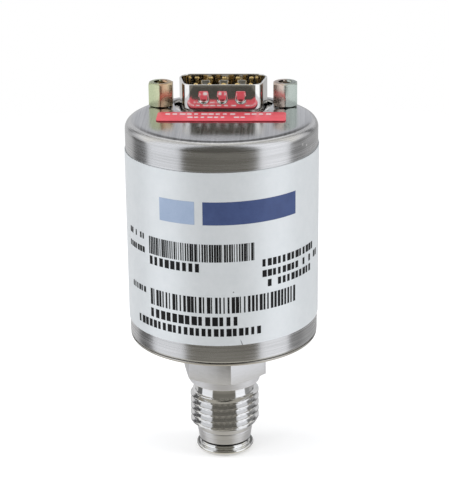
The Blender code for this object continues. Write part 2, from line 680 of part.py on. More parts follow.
def press_dimple(piece, tag, x, inwards):
    """One dimple: a bulge joined on inside the shell's wall, and a pit cut into it from outside."""
    outer = CONNECTOR_OFFSET - inwards * (SHELL_OPENING[1] / 2 + SHELL_WALL)
    pit = (DIMPLE_WIDTH / 2, DIMPLE_DEPTH, DIMPLE_LENGTH / 2)
    bulge = make_dimple("bulge_" + tag, x, outer + inwards * FILM_GAP, inwards,
                        (pit[0] + DIMPLE_WALL, pit[1] + SHELL_WALL, pit[2] + DIMPLE_WALL))
    guard_depth = DIMPLE_WIDTH
    guard = box("bulge_guard_" + tag, (2 * DIMPLE_WIDTH, guard_depth, 2 * DIMPLE_LENGTH),
                RIM_TOP - DIMPLE_BELOW_RIM - DIMPLE_LENGTH,
                (x, outer + inwards * (SHELL_WALL - guard_depth) / 2))
    boolean(bulge, add_cutter(guard))
    boolean(piece, bulge, 'UNION')
    boolean(piece, make_dimple("pit_" + tag, x, outer, inwards, pit))


def make_connector_shell():
    """Plated D shell with a rolled foot on its flange, and three dimples in front and behind."""
    place = (0.0, CONNECTOR_OFFSET)
    rim = d_outline(SHELL_OPENING, SHELL_CORNER, SHELL_WALL - SHELL_RIM_EASE)
    sections = [(rim, RIM_TOP)]
    sections += [(d_outline(SHELL_OPENING, SHELL_CORNER, SHELL_WALL), RIM_TOP - SHELL_RIM_EASE)]
    for angle in (0.0, math.radians(30.0), math.radians(60.0), math.radians(90.0)):
        outset = SHELL_WALL + SHELL_FILLET * (1.0 - math.cos(angle))
        height = FLANGE_TOP + SHELL_FILLET * (1.0 - math.sin(angle))
        sections.append((d_outline(SHELL_OPENING, SHELL_CORNER, outset), height))
    foot = FLANGE_BOTTOM + FLANGE_THICKNESS / 4
    outset = SHELL_WALL + SHELL_FILLET
    sections.append((d_outline(SHELL_OPENING, SHELL_CORNER, outset), foot))
    sections.append((d_outline(SHELL_OPENING, SHELL_CORNER), foot))
    sections.append((d_outline(SHELL_OPENING, SHELL_CORNER), RIM_TOP))
    tube = loft("shell_tube", sections, place)
    piece = flange_plate("connector_shell", FLANGE_BOTTOM, FLANGE_TOP)
    add_part(piece, "tin_plate")
    outline = d_outline(SHELL_OPENING, SHELL_CORNER, SHELL_WALL / 2)
    window = prism("shell_window", outline, FLANGE_BOTTOM - PAST, FLANGE_TOP + PAST, place)
    boolean(piece, add_cutter(window))
    boolean(piece, add_cutter(tube), 'UNION')
    for inwards, side in ((1, "front"), (-1, "back")):
        for number in (-1, 0, 1):
            press_dimple(piece, "%s_%d" % (side, number + 2), number * DIMPLE_PITCH, inwards)
    return smooth(piece)


def make_rear_shell():
    """Back half of the connector's metal shell: a flange and a D box round the insulator."""
    place = (0.0, CONNECTOR_OFFSET)
    cavity = INSULATOR_COLLAR + SEAT_GAP
    piece = flange_plate("connector_rear_shell", REAR_FLANGE_BOTTOM, REAR_FLANGE_TOP)
    add_part(piece, "tin_plate")
    outline = d_outline(SHELL_OPENING, SHELL_CORNER, cavity + REAR_SHELL_WALL)
    body = prism("rear_body", outline, REAR_SHELL_BOTTOM, REAR_FLANGE_TOP - FLANGE_THICKNESS / 2, place)
    boolean(piece, add_cutter(body), 'UNION')
    outline = d_outline(SHELL_OPENING, SHELL_CORNER, cavity)
    room = prism("rear_room", outline, INSULATOR_BOTTOM - SEAT_GAP, REAR_FLANGE_TOP + PAST, place)
    boolean(piece, add_cutter(room))
    outline = d_outline(SHELL_OPENING, SHELL_CORNER, -SEAT_GAP)
    mouth = prism("rear_mouth", outline, REAR_SHELL_BOTTOM - PAST, REAR_FLANGE_TOP, place)
    boolean(piece, add_cutter(mouth))
    return piece


def pin_places():
    """Pin centres: the longer row on the wide side at the back, and one pin fewer in front."""
    places = []
    for count, side in ((REAR_PIN_COUNT, 1), (REAR_PIN_COUNT - 1, -1)):
        for column in range(count):
            x = (column - (count - 1) / 2) * PIN_PITCH
            places.append((x, CONNECTOR_OFFSET + side * PIN_ROW_GAP / 2))
    return places


def make_insulator():
    """Moulded block that holds the pins, with a collar caught between the two metal shells."""
    place = (0.0, CONNECTOR_OFFSET)
    outline = d_outline(SHELL_OPENING, SHELL_CORNER, -SEAT_GAP)
    piece = prism("connector_insulator", outline, INSULATOR_BOTTOM, INSULATOR_FACE, place)
    add_part(piece, "black_plastic")
    outline = d_outline(SHELL_OPENING, SHELL_CORNER, INSULATOR_COLLAR)
    collar = prism("insulator_collar", outline, INSULATOR_BOTTOM + INSULATOR_FOOT, REAR_FLANGE_TOP, place)
    boolean(piece, add_cutter(collar), 'UNION')
    for number, pin in enumerate(pin_places(), 1):
        drill_through(piece, "insulator_hole_%d" % number, PIN_DIAMETER + 2 * BORE_GAP,
                      INSULATOR_BOTTOM, INSULATOR_FACE, pin, PIN_STEPS)
    return piece


def make_pins():
    """Gold-plated pins with round tips, whose thinner tails are soldered in the upper board."""
    pin = PIN_DIAMETER / 2
    tail = TAIL_DIAMETER / 2
    bottom = UPPER_BOARD_BOTTOM - TAIL_BELOW_BOARD
    profile = [(0.0, PIN_TIP), (pin / 2, PIN_TIP), (pin, PIN_TIP - PIN_TIP_LENGTH)]
    profile += [(pin, INSULATOR_BOTTOM), (tail, INSULATOR_BOTTOM), (tail, bottom), (0.0, bottom)]
    pieces = []
    for number, place in enumerate(pin_places(), 1):
        pieces.append(add_part(turned("pin_%d" % number, profile, PIN_STEPS, place), "gold_plate"))
    return pieces


def jackscrew_places():
    """The side and the axis of each jackscrew, beside the connector."""
    reach = JACKSCREW_SPACING / 2
    return [("left", (-reach, CONNECTOR_OFFSET)), ("right", (reach, CONNECTOR_OFFSET))]


def make_jackscrews():
    """Hex jackscrews: a threaded hole for the cable plug, and a stud into the clinch nut."""
    pieces = []
    bottom = COVER_TOP + SEAT_GAP
    top = bottom + JACKSCREW_HEIGHT
    for side, place in jackscrew_places():
        piece = hexagon("jackscrew_" + side, JACKSCREW_FLATS, bottom, top, CORNER_FRONT, place)
        add_part(piece, "zinc_chromate")
        blank = chamfer_blank("jackscrew_blank_" + side, JACKSCREW_FLATS, bottom, top,
                              SENSOR_STEPS, place)
        boolean(piece, blank, 'INTERSECT')
        stud = cylinder("stud_" + side, STUD_DIAMETER, CLINCH_NUT_BOTTOM, bottom + SEAT_GAP, place)
        boolean(piece, add_cutter(stud), 'UNION')
        hole = drill("jackscrew_hole_" + side, JACKSCREW_HOLE, top - JACKSCREW_HOLE_DEPTH,
                     top + PAST, place)
        boolean(piece, hole)
        pieces.append(piece)
    return pieces


def make_clinch_nuts():
    """Round threaded nuts under the rear flange, one for each jackscrew."""
    bore = STUD_DIAMETER / 2 + BORE_GAP
    outer = CLINCH_NUT_DIAMETER / 2
    profile = [(outer, CLINCH_NUT_TOP), (outer, CLINCH_NUT_BOTTOM + CLINCH_NUT_EDGE)]
    profile += [(outer - CLINCH_NUT_EDGE, CLINCH_NUT_BOTTOM), (bore, CLINCH_NUT_BOTTOM)]
    profile += [(bore, CLINCH_NUT_TOP)]
    pieces = []
    for side, place in jackscrew_places():
        nut = turned("clinch_nut_" + side, profile, SMALL_STEPS, place)
        pieces.append(add_part(nut, "tin_plate"))
    return pieces


def make_sensor_housing():
    """Lower half of the sensor: a cup with a socket for the port tube below."""
    socket = TUBE_DIAMETER / 2 + BORE_GAP
    port = TUBE_BORE / 2
    socket_top = SENSOR_BOTTOM + SENSOR_SOCKET_DEPTH
    profile = [(SENSOR_RADIUS, SENSOR_HOUSING_TOP), (SENSOR_RADIUS, SENSOR_BOTTOM + SENSOR_EDGE)]
    profile += [(SENSOR_RADIUS - SENSOR_EDGE, SENSOR_BOTTOM), (socket, SENSOR_BOTTOM)]
    profile += [(socket, socket_top), (port, socket_top), (port, SENSOR_FLOOR_TOP)]
    profile += [(SENSOR_BORE, SENSOR_FLOOR_TOP), (SENSOR_BORE, SENSOR_HOUSING_TOP)]
    return add_part(turned("sensor_housing", profile, SENSOR_STEPS), "turned_steel")


def make_baffle():
    """Disc on three short legs that keeps dust from the inlet off the diaphragm."""
    foot = SENSOR_FLOOR_TOP + SEAT_GAP
    bottom = foot + BAFFLE_LEG
    piece = cylinder("baffle_plate", BAFFLE_DIAMETER, bottom, bottom + BAFFLE_THICKNESS,
                     steps=SENSOR_STEPS)
    add_part(piece, "turned_steel")
    reach = BAFFLE_DIAMETER / 2 - BAFFLE_LEG_INSET
    for number in range(3):
        angle = math.radians(120.0 * number)
        place = (reach * math.cos(angle), reach * math.sin(angle))
        leg = cylinder("baffle_leg_%d" % (number + 1), BAFFLE_LEG_DIAMETER, foot,
                       bottom + BAFFLE_THICKNESS / 2, place, PIN_STEPS)
        boolean(piece, add_cutter(leg), 'UNION')
    return piece


def make_diaphragm():
    """Taut metal membrane that bows with the pressure."""
    piece = cylinder("diaphragm", 2 * SENSOR_RADIUS, DIAPHRAGM_BOTTOM,
                     DIAPHRAGM_BOTTOM + DIAPHRAGM_THICKNESS, steps=SENSOR_STEPS)
    return add_part(piece, "polished_steel")


def make_sensor_ring():
    """Upper half of the sensor: a ring with a ledge that carries the electrode disc."""
    ledge = SENSOR_BORE - RING_LEDGE_WIDTH
    profile = [(SENSOR_RADIUS, RING_TOP), (SENSOR_RADIUS, RING_BOTTOM), (ledge, RING_BOTTOM)]
    profile += [(ledge, LEDGE_TOP), (SENSOR_BORE, LEDGE_TOP), (SENSOR_BORE, RING_TOP)]
    return add_part(turned("sensor_ring", profile, SENSOR_STEPS), "turned_steel")


def feedthrough_places():
    return [(side * FEEDTHROUGH_SPACING / 2, 0.0) for side in (-1, 1)]


def make_electrode_disc():
    """Ceramic disc whose metal film faces the diaphragm; the leads pass through it."""
    piece = cylinder("electrode_disc", 2 * (SENSOR_BORE - SEAT_GAP), ELECTRODE_BOTTOM,
                     ELECTRODE_TOP, steps=SENSOR_STEPS)
    add_part(piece, "ceramic")
    for number, place in enumerate(feedthrough_places(), 1):
        drill_through(piece, "electrode_hole_%d" % number, FEEDTHROUGH_PIN + 2 * BORE_GAP,
                      ELECTRODE_BOTTOM, ELECTRODE_TOP, place, PIN_STEPS)
    return piece


def make_disc_spring():
    """Wave washer with three waves, pressed flat by the lid on to the electrode disc."""
    outer = SENSOR_BORE - SEAT_GAP
    inner = outer - SPRING_WIDTH

    def build(shape):
        columns = []
        for index in range(SENSOR_STEPS):
            angle = 2 * math.pi * index / SENSOR_STEPS
            height = Vector((0.0, 0.0, SPRING_MIDDLE + SPRING_WAVE * math.cos(3 * angle)))
            direction = Vector((math.cos(angle), math.sin(angle), 0.0))
            low = shape.verts.new(direction * inner + height)
            high = shape.verts.new(direction * outer + height)
            columns.append((low, high))
        for (low, high), (next_low, next_high) in zip(columns, columns[1:] + columns[:1]):
            shape.faces.new((low, high, next_high, next_low))

    piece = mesh_object("disc_spring", build)
    add_part(piece, "polished_steel")
    strip = piece.modifiers.new("strip_thickness", 'SOLIDIFY')
    strip.thickness = SPRING_THICKNESS
    strip.offset = 0.0
    return smooth(piece)


def make_sensor_lid():
    """Lid of the sensor's reference side, with two glass-sealed leads and a pinch-off tube."""
    piece = cylinder("sensor_lid", 2 * SENSOR_RADIUS, LID_BOTTOM, LID_TOP, steps=SENSOR_STEPS)
    add_part(piece, "turned_steel")
    for number, place in enumerate(feedthrough_places(), 1):
        drill_through(piece, "lid_hole_%d" % number, GLASS_DIAMETER + 2 * BORE_GAP, LID_BOTTOM,
                      LID_TOP, place)
    drill_through(piece, "lid_tube_hole", PINCH_TUBE_DIAMETER + 2 * BORE_GAP, LID_BOTTOM, LID_TOP,
                  (0.0, -PINCH_TUBE_PLACE))
    return piece


def make_feedthroughs():
    """Leads from the electrode disc to the lower board, each in a glass seal in the lid."""
    pieces = []
    glass = GLASS_DIAMETER / 2
    bore = FEEDTHROUGH_PIN / 2 + BORE_GAP
    profile = [(glass, LID_TOP), (glass, LID_BOTTOM), (bore, LID_BOTTOM), (bore, LID_TOP)]
    for number, place in enumerate(feedthrough_places(), 1):
        seal = turned("glass_seal_%d" % number, profile, PIN_STEPS, place)
        pieces.append(add_part(seal, "glass"))
        lead = cylinder("feedthrough_pin_%d" % number, FEEDTHROUGH_PIN, ELECTRODE_BOTTOM,
                        LOWER_BOARD_TOP + FEEDTHROUGH_ABOVE_BOARD, place, PIN_STEPS)
        pieces.append(add_part(lead, "gold_plate"))
    return pieces


def make_pinch_off_tube():
    """Copper tube that was squeezed shut after the reference side was pumped out."""
    outer = PINCH_TUBE_DIAMETER / 2
    bore = PINCH_TUBE_BORE / 2
    top = LID_TOP + PINCH_TUBE_LENGTH
    closed = top - PINCH_LENGTH
    profile = [(0.0, top), (PINCH_EDGE_WIDTH / 2, top), (outer, closed), (outer, LID_BOTTOM)]
    profile += [(bore, LID_BOTTOM), (bore, closed - bore), (0.0, closed)]
    place = (0.0, -PINCH_TUBE_PLACE)
    return add_part(turned("pinch_off_tube", profile, SMALL_STEPS, place), "copper")


def pillar_places():
    angles = [PILLAR_START + math.radians(120.0) * number for number in range(3)]
    return [(PILLAR_PLACE * math.cos(angle), PILLAR_PLACE * math.sin(angle)) for angle in angles]


def hex_post(name, bottom, top, place, stud_length):
    """A hexagonal post with a stud below and a tapped hole above."""
    piece = hexagon(name, PILLAR_FLATS, bottom, top, CORNER_UP, place)
    add_part(piece, "brass")
    stud = cylinder(name + "_stud", PILLAR_STUD, bottom - stud_length, bottom + SEAT_GAP, place,
                    PIN_STEPS)
    boolean(piece, add_cutter(stud), 'UNION')
    hole_bottom = top - PILLAR_ENGAGEMENT - SEAT_GAP
    hole = drill(name + "_hole", PILLAR_STUD + 2 * BORE_GAP, hole_bottom, top + PAST, place,
                 PIN_STEPS)
    return boolean(piece, hole)


def make_board(name, bottom, top):
    """A round circuit board with a hole for each pillar."""
    piece = cylinder(name, 2 * BOARD_RADIUS, bottom, top, steps=SENSOR_STEPS)
    add_part(piece, "green_laminate")
    for number, place in enumerate(pillar_places(), 1):
        drill_through(piece, "%s_hole_%d" % (name, number), PILLAR_STUD + 2 * BORE_GAP, bottom,
                      top, place, PIN_STEPS)
    return piece


def make_boards():
    """The lower board holds the sensor's leads, and the upper one the connector's pins."""
    lower = make_board("lower_board", LOWER_BOARD_BOTTOM, LOWER_BOARD_TOP)
    upper = make_board("upper_board", UPPER_BOARD_BOTTOM, UPPER_BOARD_TOP)
    for number, place in enumerate(feedthrough_places(), 1):
        drill_through(lower, "lower_board_lead_%d" % number, FEEDTHROUGH_PIN + 2 * BORE_GAP,
                      LOWER_BOARD_BOTTOM, LOWER_BOARD_TOP, place, PIN_STEPS)
    for number, place in enumerate(pin_places(), 1):
        drill_through(upper, "upper_board_pin_%d" % number, TAIL_DIAMETER + 2 * BORE_GAP,
                      UPPER_BOARD_BOTTOM, UPPER_BOARD_TOP, place, PIN_STEPS)
    return [lower, upper]


def make_pillars():
    """Posts on the base carry the lower board, spacers on it the upper one, and screws hold it."""
    pieces = []
    pillar_bottom = BASE_TOP + SEAT_GAP
    pillar_top = LOWER_BOARD_BOTTOM - SEAT_GAP
    spacer_bottom = LOWER_BOARD_TOP + SEAT_GAP
    spacer_top = UPPER_BOARD_BOTTOM - SEAT_GAP
    spacer_stud = spacer_bottom - pillar_top + PILLAR_ENGAGEMENT
    head = SCREW_HEAD_DIAMETER / 2
    shank = PILLAR_STUD / 2
    head_bottom = UPPER_BOARD_TOP + SEAT_GAP
    head_top = head_bottom + SCREW_HEAD_HEIGHT
    shank_bottom = spacer_top - PILLAR_ENGAGEMENT
    profile = [(0.0, head_top), (head - SCREW_HEAD_CROWN, head_top)]
    profile += [(head, head_top - SCREW_HEAD_CROWN), (head, head_bottom), (shank, head_bottom)]
    profile += [(shank, shank_bottom), (0.0, shank_bottom)]
    for number, place in enumerate(pillar_places(), 1):
        pieces.append(hex_post("pillar_%d" % number, pillar_bottom, pillar_top, place,
                               PILLAR_ENGAGEMENT))
        pieces.append(hex_post("spacer_%d" % number, spacer_bottom, spacer_top, place, spacer_stud))
        screw = turned("board_screw_%d" % number, profile, PIN_STEPS, place)
        pieces.append(add_part(screw, "tin_plate"))
    return pieces


def make_lower_parts():
    """The comparator, the link between the boards, the smoothing capacitors and the regulator."""
    floor = LOWER_BOARD_TOP + SEAT_GAP
    leads = FEEDTHROUGH_PIN / 2
    comparator_back = -leads - COMPARATOR_TO_LEADS
    comparator_front = comparator_back - COMPARATOR_SIZE[1]
    comparator = box("comparator", COMPARATOR_SIZE, floor,
                     (0.0, (comparator_back + comparator_front) / 2), MOULDED_EDGE)
    pieces = [add_part(comparator, "black_plastic")]
    link_size = (LINK_WIDTH, LINK_DEPTH, UPPER_BOARD_BOTTOM - SEAT_GAP - floor)
    link_place = (0.0, comparator_front - LINK_TO_COMPARATOR - LINK_DEPTH / 2)
    link = box("board_link", link_size, floor, link_place, MOULDED_EDGE)
    pieces.append(add_part(link, "black_plastic"))
    across = (REGULATOR_DIAMETER + CAPACITOR_DIAMETER) / 2 + REGULATOR_TO_CAPACITOR
    behind = leads + CAPACITOR_TO_LEADS + CAPACITOR_DIAMETER / 2
    for number, side in enumerate((-1, 1), 1):
        capacitor = cylinder("capacitor_%d" % number, CAPACITOR_DIAMETER, floor,
                             floor + CAPACITOR_HEIGHT, (side * across, behind))
        pieces.append(add_part(capacitor, "brushed_steel"))
    outline = arc((0.0, 0.0), REGULATOR_DIAMETER / 2, -30.0, 210.0, 8)
    regulator = prism("regulator", outline, floor, floor + REGULATOR_HEIGHT,
                      (0.0, behind + REGULATOR_BEHIND))
    pieces.append(add_part(regulator, "black_plastic"))
    return pieces


def make_upper_parts():
    """The relay that the switch trips, and two trim pots beside it with a slot on top."""
    floor = UPPER_BOARD_TOP + SEAT_GAP
    relay_place = (0.0, RELAY_TO_EDGE + RELAY_SIZE[1] / 2 - BOARD_RADIUS)
    relay = box("relay", RELAY_SIZE, floor, relay_place, MOULDED_EDGE)
    pieces = [add_part(relay, "ceramic")]
    across = (RELAY_SIZE[0] + TRIM_POT_SIZE[0]) / 2 + TRIM_POT_TO_RELAY
    screw_back = pillar_places()[0][1] + SCREW_HEAD_DIAMETER / 2
    behind = screw_back + TRIM_POT_TO_SCREW + TRIM_POT_SIZE[1] / 2
    for number, side in enumerate((-1, 1), 1):
        place = (side * across, behind)
        pot = box("trim_pot_%d" % number, TRIM_POT_SIZE, floor, place, MOULDED_EDGE)
        add_part(pot, "blue_plastic")
        slot_size = (TRIM_SLOT_SIZE[0], TRIM_SLOT_SIZE[1], TRIM_SLOT_DEPTH + PAST)
        slot = box("trim_slot_%d" % number, slot_size, floor + TRIM_POT_SIZE[2] - TRIM_SLOT_DEPTH,
                   place)
        boolean(pot, add_cutter(slot))
        pieces.append(pot)
    return pieces


def hold(pieces, holder):
    """Parents pieces to an empty without moving them."""
    for piece in pieces:
        piece.parent = holder
        piece.matrix_parent_inverse = holder.matrix_world.inverted()


def build_switch():
    body = bpy.data.objects.new("switch_frame", None)
    nut_axis = bpy.data.objects.new("nut_axis", None)
    nut_axis.location = (0.0, 0.0, NUT_BOTTOM)
    for guide in (body, nut_axis):
        parts.objects.link(guide)
    nut_axis.parent = body
    bpy.context.view_layer.update()
    fixed = [make_gland(), make_base(), make_cover(), make_wrap_label(), make_strip_label()]
    fixed += [make_connector_shell(), make_rear_shell(), make_insulator()]
    fixed += make_pins() + make_jackscrews() + make_clinch_nuts()
    fixed += [make_sensor_housing(), make_baffle(), make_diaphragm(), make_sensor_ring()]
    fixed += [make_electrode_disc(), make_disc_spring(), make_sensor_lid(), make_pinch_off_tube()]
    fixed += make_feedthroughs() + make_boards() + make_pillars()
    fixed += make_lower_parts() + make_upper_parts()
    hold(fixed, body)
    hold([make_male_nut()], nut_axis)


build_switch()
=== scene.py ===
# %% [markdown]
# # A vacuum pressure switch
#
# This lesson dresses the CAD model of a small stainless pressure switch: a brushed can with a nine-pin
# connector on top and a face-seal fitting below. The CAD model gives every size and place. The lesson
# adds what a camera sees: true threads, rounded edges, pressed dimples, print and the finish of each
# surface. All sizes here are in millimetres, and each finished piece is scaled to metres once, at its end.

import json
import math

import bmesh
import bpy
from mathutils import Matrix, Vector


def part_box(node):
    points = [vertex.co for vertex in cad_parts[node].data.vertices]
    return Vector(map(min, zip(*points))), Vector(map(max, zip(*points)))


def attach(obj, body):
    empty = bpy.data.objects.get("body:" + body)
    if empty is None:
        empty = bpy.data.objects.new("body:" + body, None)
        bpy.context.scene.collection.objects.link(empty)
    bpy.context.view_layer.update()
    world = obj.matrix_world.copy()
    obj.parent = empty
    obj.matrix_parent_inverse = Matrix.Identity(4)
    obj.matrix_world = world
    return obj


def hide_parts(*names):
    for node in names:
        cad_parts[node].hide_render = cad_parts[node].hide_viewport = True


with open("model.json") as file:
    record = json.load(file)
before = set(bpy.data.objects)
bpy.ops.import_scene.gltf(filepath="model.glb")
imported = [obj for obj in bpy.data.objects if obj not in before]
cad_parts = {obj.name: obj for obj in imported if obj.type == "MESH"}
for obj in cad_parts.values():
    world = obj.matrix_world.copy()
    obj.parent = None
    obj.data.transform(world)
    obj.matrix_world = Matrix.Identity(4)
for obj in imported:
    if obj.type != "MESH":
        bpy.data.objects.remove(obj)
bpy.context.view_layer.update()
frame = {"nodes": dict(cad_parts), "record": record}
MM = 0.001
MICRON = 0.000001
AXIS = (0.0, 0.0)
OVERCUT = 1.0
SWITCH = "switch_body"

# %% [markdown]
# ## Working helpers
#
# Nearly every piece of this switch is turned, pressed or cut from bar, so three helpers carry most of
# the work. One turns a profile about an upright line, one cuts a solid with another, and one hands
# the finished solid over: it scales it to metres, gives it its finish and ties it to its CAD body.
# A screw modifier could turn the profile too, but plain rings keep the number of faces in our hands.

# %% Objects in millimetres, and the result of their modifiers
def working_object(name, shape):
    """Links a bmesh as an object in millimetres."""
    mesh = bpy.data.meshes.new(name)
    shape.to_mesh(mesh)
    shape.free()
    item = bpy.data.objects.new(name, mesh)
    bpy.context.scene.collection.objects.link(item)
    return item


def settle(item):
    """Puts the result of an object's modifiers into its mesh."""
    bpy.context.view_layer.update()
    graph = bpy.context.evaluated_depsgraph_get()
    result = bpy.data.meshes.new_from_object(item.evaluated_get(graph))
    before = item.data
    item.modifiers.clear()
    item.data = result
    bpy.data.meshes.remove(before)
    return item


def cut(item, tool, operation='DIFFERENCE'):
    """Cuts a tool object out of an object, or trims the object to it. The tool is used up."""
    step = item.modifiers.new(operation.lower(), 'BOOLEAN')
    step.operation = operation
    step.object = tool
    step.solver = 'EXACT'
    settle(item)
    bpy.data.objects.remove(tool)
    return item


def soften(item, width, angle):
    """Rounds the edges that are sharper than the angle, as deburring does."""
    step = item.modifiers.new("soften", 'BEVEL')
    step.width = width
    step.segments = 2
    step.limit_method = 'ANGLE'
    step.angle_limit = math.radians(angle)
    return settle(item)


# %% Arcs, and faces between rings of points
def arc(centre, radius, start, end, steps):
    """Points on an arc, with angles in degrees from the first axis towards the second."""
    points = []
    for index in range(steps + 1):
        angle = math.radians(start + (end - start) * index / steps)
        points.append((centre[0] + radius * math.cos(angle), centre[1] + radius * math.sin(angle)))
    return points


def finished(name, shape):
    """A working object of a closed bmesh, with its faces turned outwards."""
    bmesh.ops.recalc_face_normals(shape, faces=shape.faces)
    return working_object(name, shape)


def bridge(shape, rings, closed=True):
    """Lays faces between each ring of points and the next. A ring may be one point, repeated."""
    for low, high in zip(rings, rings[1:]):
        for index in range(len(low) if closed else len(low) - 1):
            after = (index + 1) % len(low)
            corners = list(dict.fromkeys((low[index], low[after], high[after], high[index])))
            if len(corners) > 2:
                shape.faces.new(corners)


# %% Turned, drawn and joined shapes
def turned(name, profile, steps=192, place=AXIS, ring=True):
    """Turns a profile of (radius, height) about an upright line through place.

    A profile that starts and ends on the axis is a solid. Any other is closed into a ring,
    unless ring is False, which leaves it an open sleeve.
    """
    shape = bmesh.new()
    rings = []
    for radius, height in profile:
        if radius == 0.0:
            rings.append([shape.verts.new((*place, height))] * steps)
        else:
            circle = arc(place, radius, 0.0, 360.0, steps)[:-1]
            rings.append([shape.verts.new((*point, height)) for point in circle])
    if ring and profile[0][0] > 0.0:
        rings.append(rings[0])
    bridge(shape, rings)
    return finished(name, shape)


def rod(name, radius, bottom, top, steps=48, place=AXIS):
    """An upright cylinder."""
    return turned(name, [(0.0, top), (radius, top), (radius, bottom), (0.0, bottom)], steps, place)


def extruded(name, outline, bottom, top):
    """A flat outline drawn up between two heights."""
    shape = bmesh.new()
    ends = [[shape.verts.new((*point, height)) for point in outline] for height in (bottom, top)]
    for end in ends:
        shape.faces.new(end)
    bridge(shape, ends)
    return finished(name, shape)


def joined(name, items):
    """One object with the meshes of several, which are used up."""
    shape = bmesh.new()
    for item in items:
        shape.from_mesh(item.data)
        bpy.data.objects.remove(item)
    return working_object(name, shape)


# %% Hand a finished piece over to the frame
def hand_over(item, name, finishes, body=SWITCH, stands_for=(), sharp=35.0):
    """Scales a piece to metres, gives it its finishes and lets it ride on its body."""
    item.data.transform(Matrix.Scale(MM, 4))
    item.name = name
    for finish in finishes:
        item.data.materials.append(finish)
    item.data.shade_smooth()
    item.data.set_sharp_from_angle(angle=math.radians(sharp))
    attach(item, body)
    if stands_for:
        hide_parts(*stands_for)
    faces = sum(len(face.vertices) - 2 for face in item.data.polygons)
    size = [round(value / MM, 2) for value in item.dimensions]
    print(name, "triangles:", faces, "size in mm:", size)
    return item


# %% [markdown]
# ## The camera
#
# The photograph looks down on the switch at about twenty degrees, a little from the right, from a third
# of a metre away. The camera could be placed by eye, but it was found from the outline of the can and
# the standard sizes of the connector and the fitting, so that the model falls on the photograph.

# %% Camera at the photograph's viewing angle
CAMERA_PLACE = (14.445, -329.92, 164.647)
CAMERA_TURN = 2.453
CAMERA_TILT = 69.872
CAMERA_ROLL = -0.655
CAMERA_LENS = 139.53

camera_data = bpy.data.cameras.new("photo_camera")
camera_data.sensor_fit = 'HORIZONTAL'
camera_data.sensor_width = 36.0
camera_data.lens = CAMERA_LENS
camera_data.clip_start = 0.01
camera = bpy.data.objects.new("photo_camera", camera_data)
bpy.context.scene.collection.objects.link(camera)
turn = Matrix.Rotation(math.radians(CAMERA_TURN), 4, 'Z')
tilt = Matrix.Rotation(math.radians(CAMERA_TILT), 4, 'X')
roll = Matrix.Rotation(math.radians(CAMERA_ROLL), 4, 'Z')
camera.matrix_world = Matrix.Translation(Vector(CAMERA_PLACE) * MM) @ turn @ tilt @ roll
bpy.context.scene.camera = camera
bpy.context.scene.view_settings.view_transform = 'Standard'
print("camera:", [round(value, 4) for value in camera.matrix_world.translation])

# %% [markdown]
# ## Nodes in plain words
#
# Materials, the light and the threads are all node trees. Each could be clicked together in Blender's
# editors, but a script says the same in fewer words when one helper adds a node, sets it and links it,
# and when plain arithmetic adds the Math nodes.

# %% Numbers in a node tree, with plain arithmetic
class Value:
    """A number in a node tree. Plain arithmetic on it adds Math nodes."""

    def __init__(self, tree, socket):
        self.tree = tree
        self.socket = socket

    def __add__(self, other):
        return maths(self.tree, 'ADD', self, other)

    def __sub__(self, other):
        return maths(self.tree, 'SUBTRACT', self, other)

    def __rsub__(self, other):
        return maths(self.tree, 'SUBTRACT', other, self)

    def __mul__(self, other):
        return maths(self.tree, 'MULTIPLY', self, other)

    def __truediv__(self, other):
        return maths(self.tree, 'DIVIDE', self, other)

    def __abs__(self):
        return maths(self.tree, 'ABSOLUTE', self)


def maths(tree, operation, *values, clamp=False):
    """The result of a Math node on Values, sockets or numbers."""
    node = add_node(tree, "ShaderNodeMath", {"operation": operation, "use_clamp": clamp})
    for socket, value in zip(node.inputs, values):
        feed(tree, socket, value)
    return Value(tree, node.outputs[0])


# %% Nodes and what feeds them
def feed(tree, socket, value):
    """Links a Value or a socket to an input, or sets the input to a plain value."""
    value = value.socket if isinstance(value, Value) else value
    if isinstance(value, bpy.types.NodeSocket):
        tree.links.new(value, socket)
    else:
        socket.default_value = value


def fill(tree, node, **inputs):
    """Feeds a node's inputs by name, with an underscore for each space."""
    for name, value in inputs.items():
        feed(tree, node.inputs[name.replace("_", " ")], value)


def add_node(tree, kind, settings=None, **inputs):
    node = tree.nodes.new(kind)
    for name, value in (settings or {}).items():
        setattr(node, name, value)
    fill(tree, node, **inputs)
    return node


# %% Vectors and places
def parts_of(tree, vector):
    """The X, Y and Z of a vector."""
    return [Value(tree, part) for part in add_node(tree, "ShaderNodeSeparateXYZ", Vector=vector).outputs]


def vector(tree, *parts):
    """A vector from its X, Y and Z. A part that is left out is 0."""
    return add_node(tree, "ShaderNodeCombineXYZ", **dict(zip("XYZ", parts))).outputs["Vector"]


def length_of(tree, arrow):
    """The length of a vector."""
    node = add_node(tree, "ShaderNodeVectorMath", {"operation": 'LENGTH'}, Vector=arrow)
    return Value(tree, node.outputs["Value"])


def own_place(tree):
    """The place on a piece in its own coordinates."""
    return add_node(tree, "ShaderNodeTexCoord").outputs["Object"]


# %% Ramps, noise and bumps
def colour_ramp(tree, factor, stops):
    """A colour ramp. Each stop is a place from 0 to 1 and a grey or a colour."""
    node = add_node(tree, "ShaderNodeValToRGB", Fac=factor)
    marks = node.color_ramp.elements
    while len(marks) < len(stops):
        marks.new(1.0)
    for mark, (place, colour) in zip(marks, stops):
        mark.position = place
        shade = colour if isinstance(colour, tuple) else (colour, colour, colour)
        mark.color = (*shade, 1.0)
    return node.outputs["Color"]


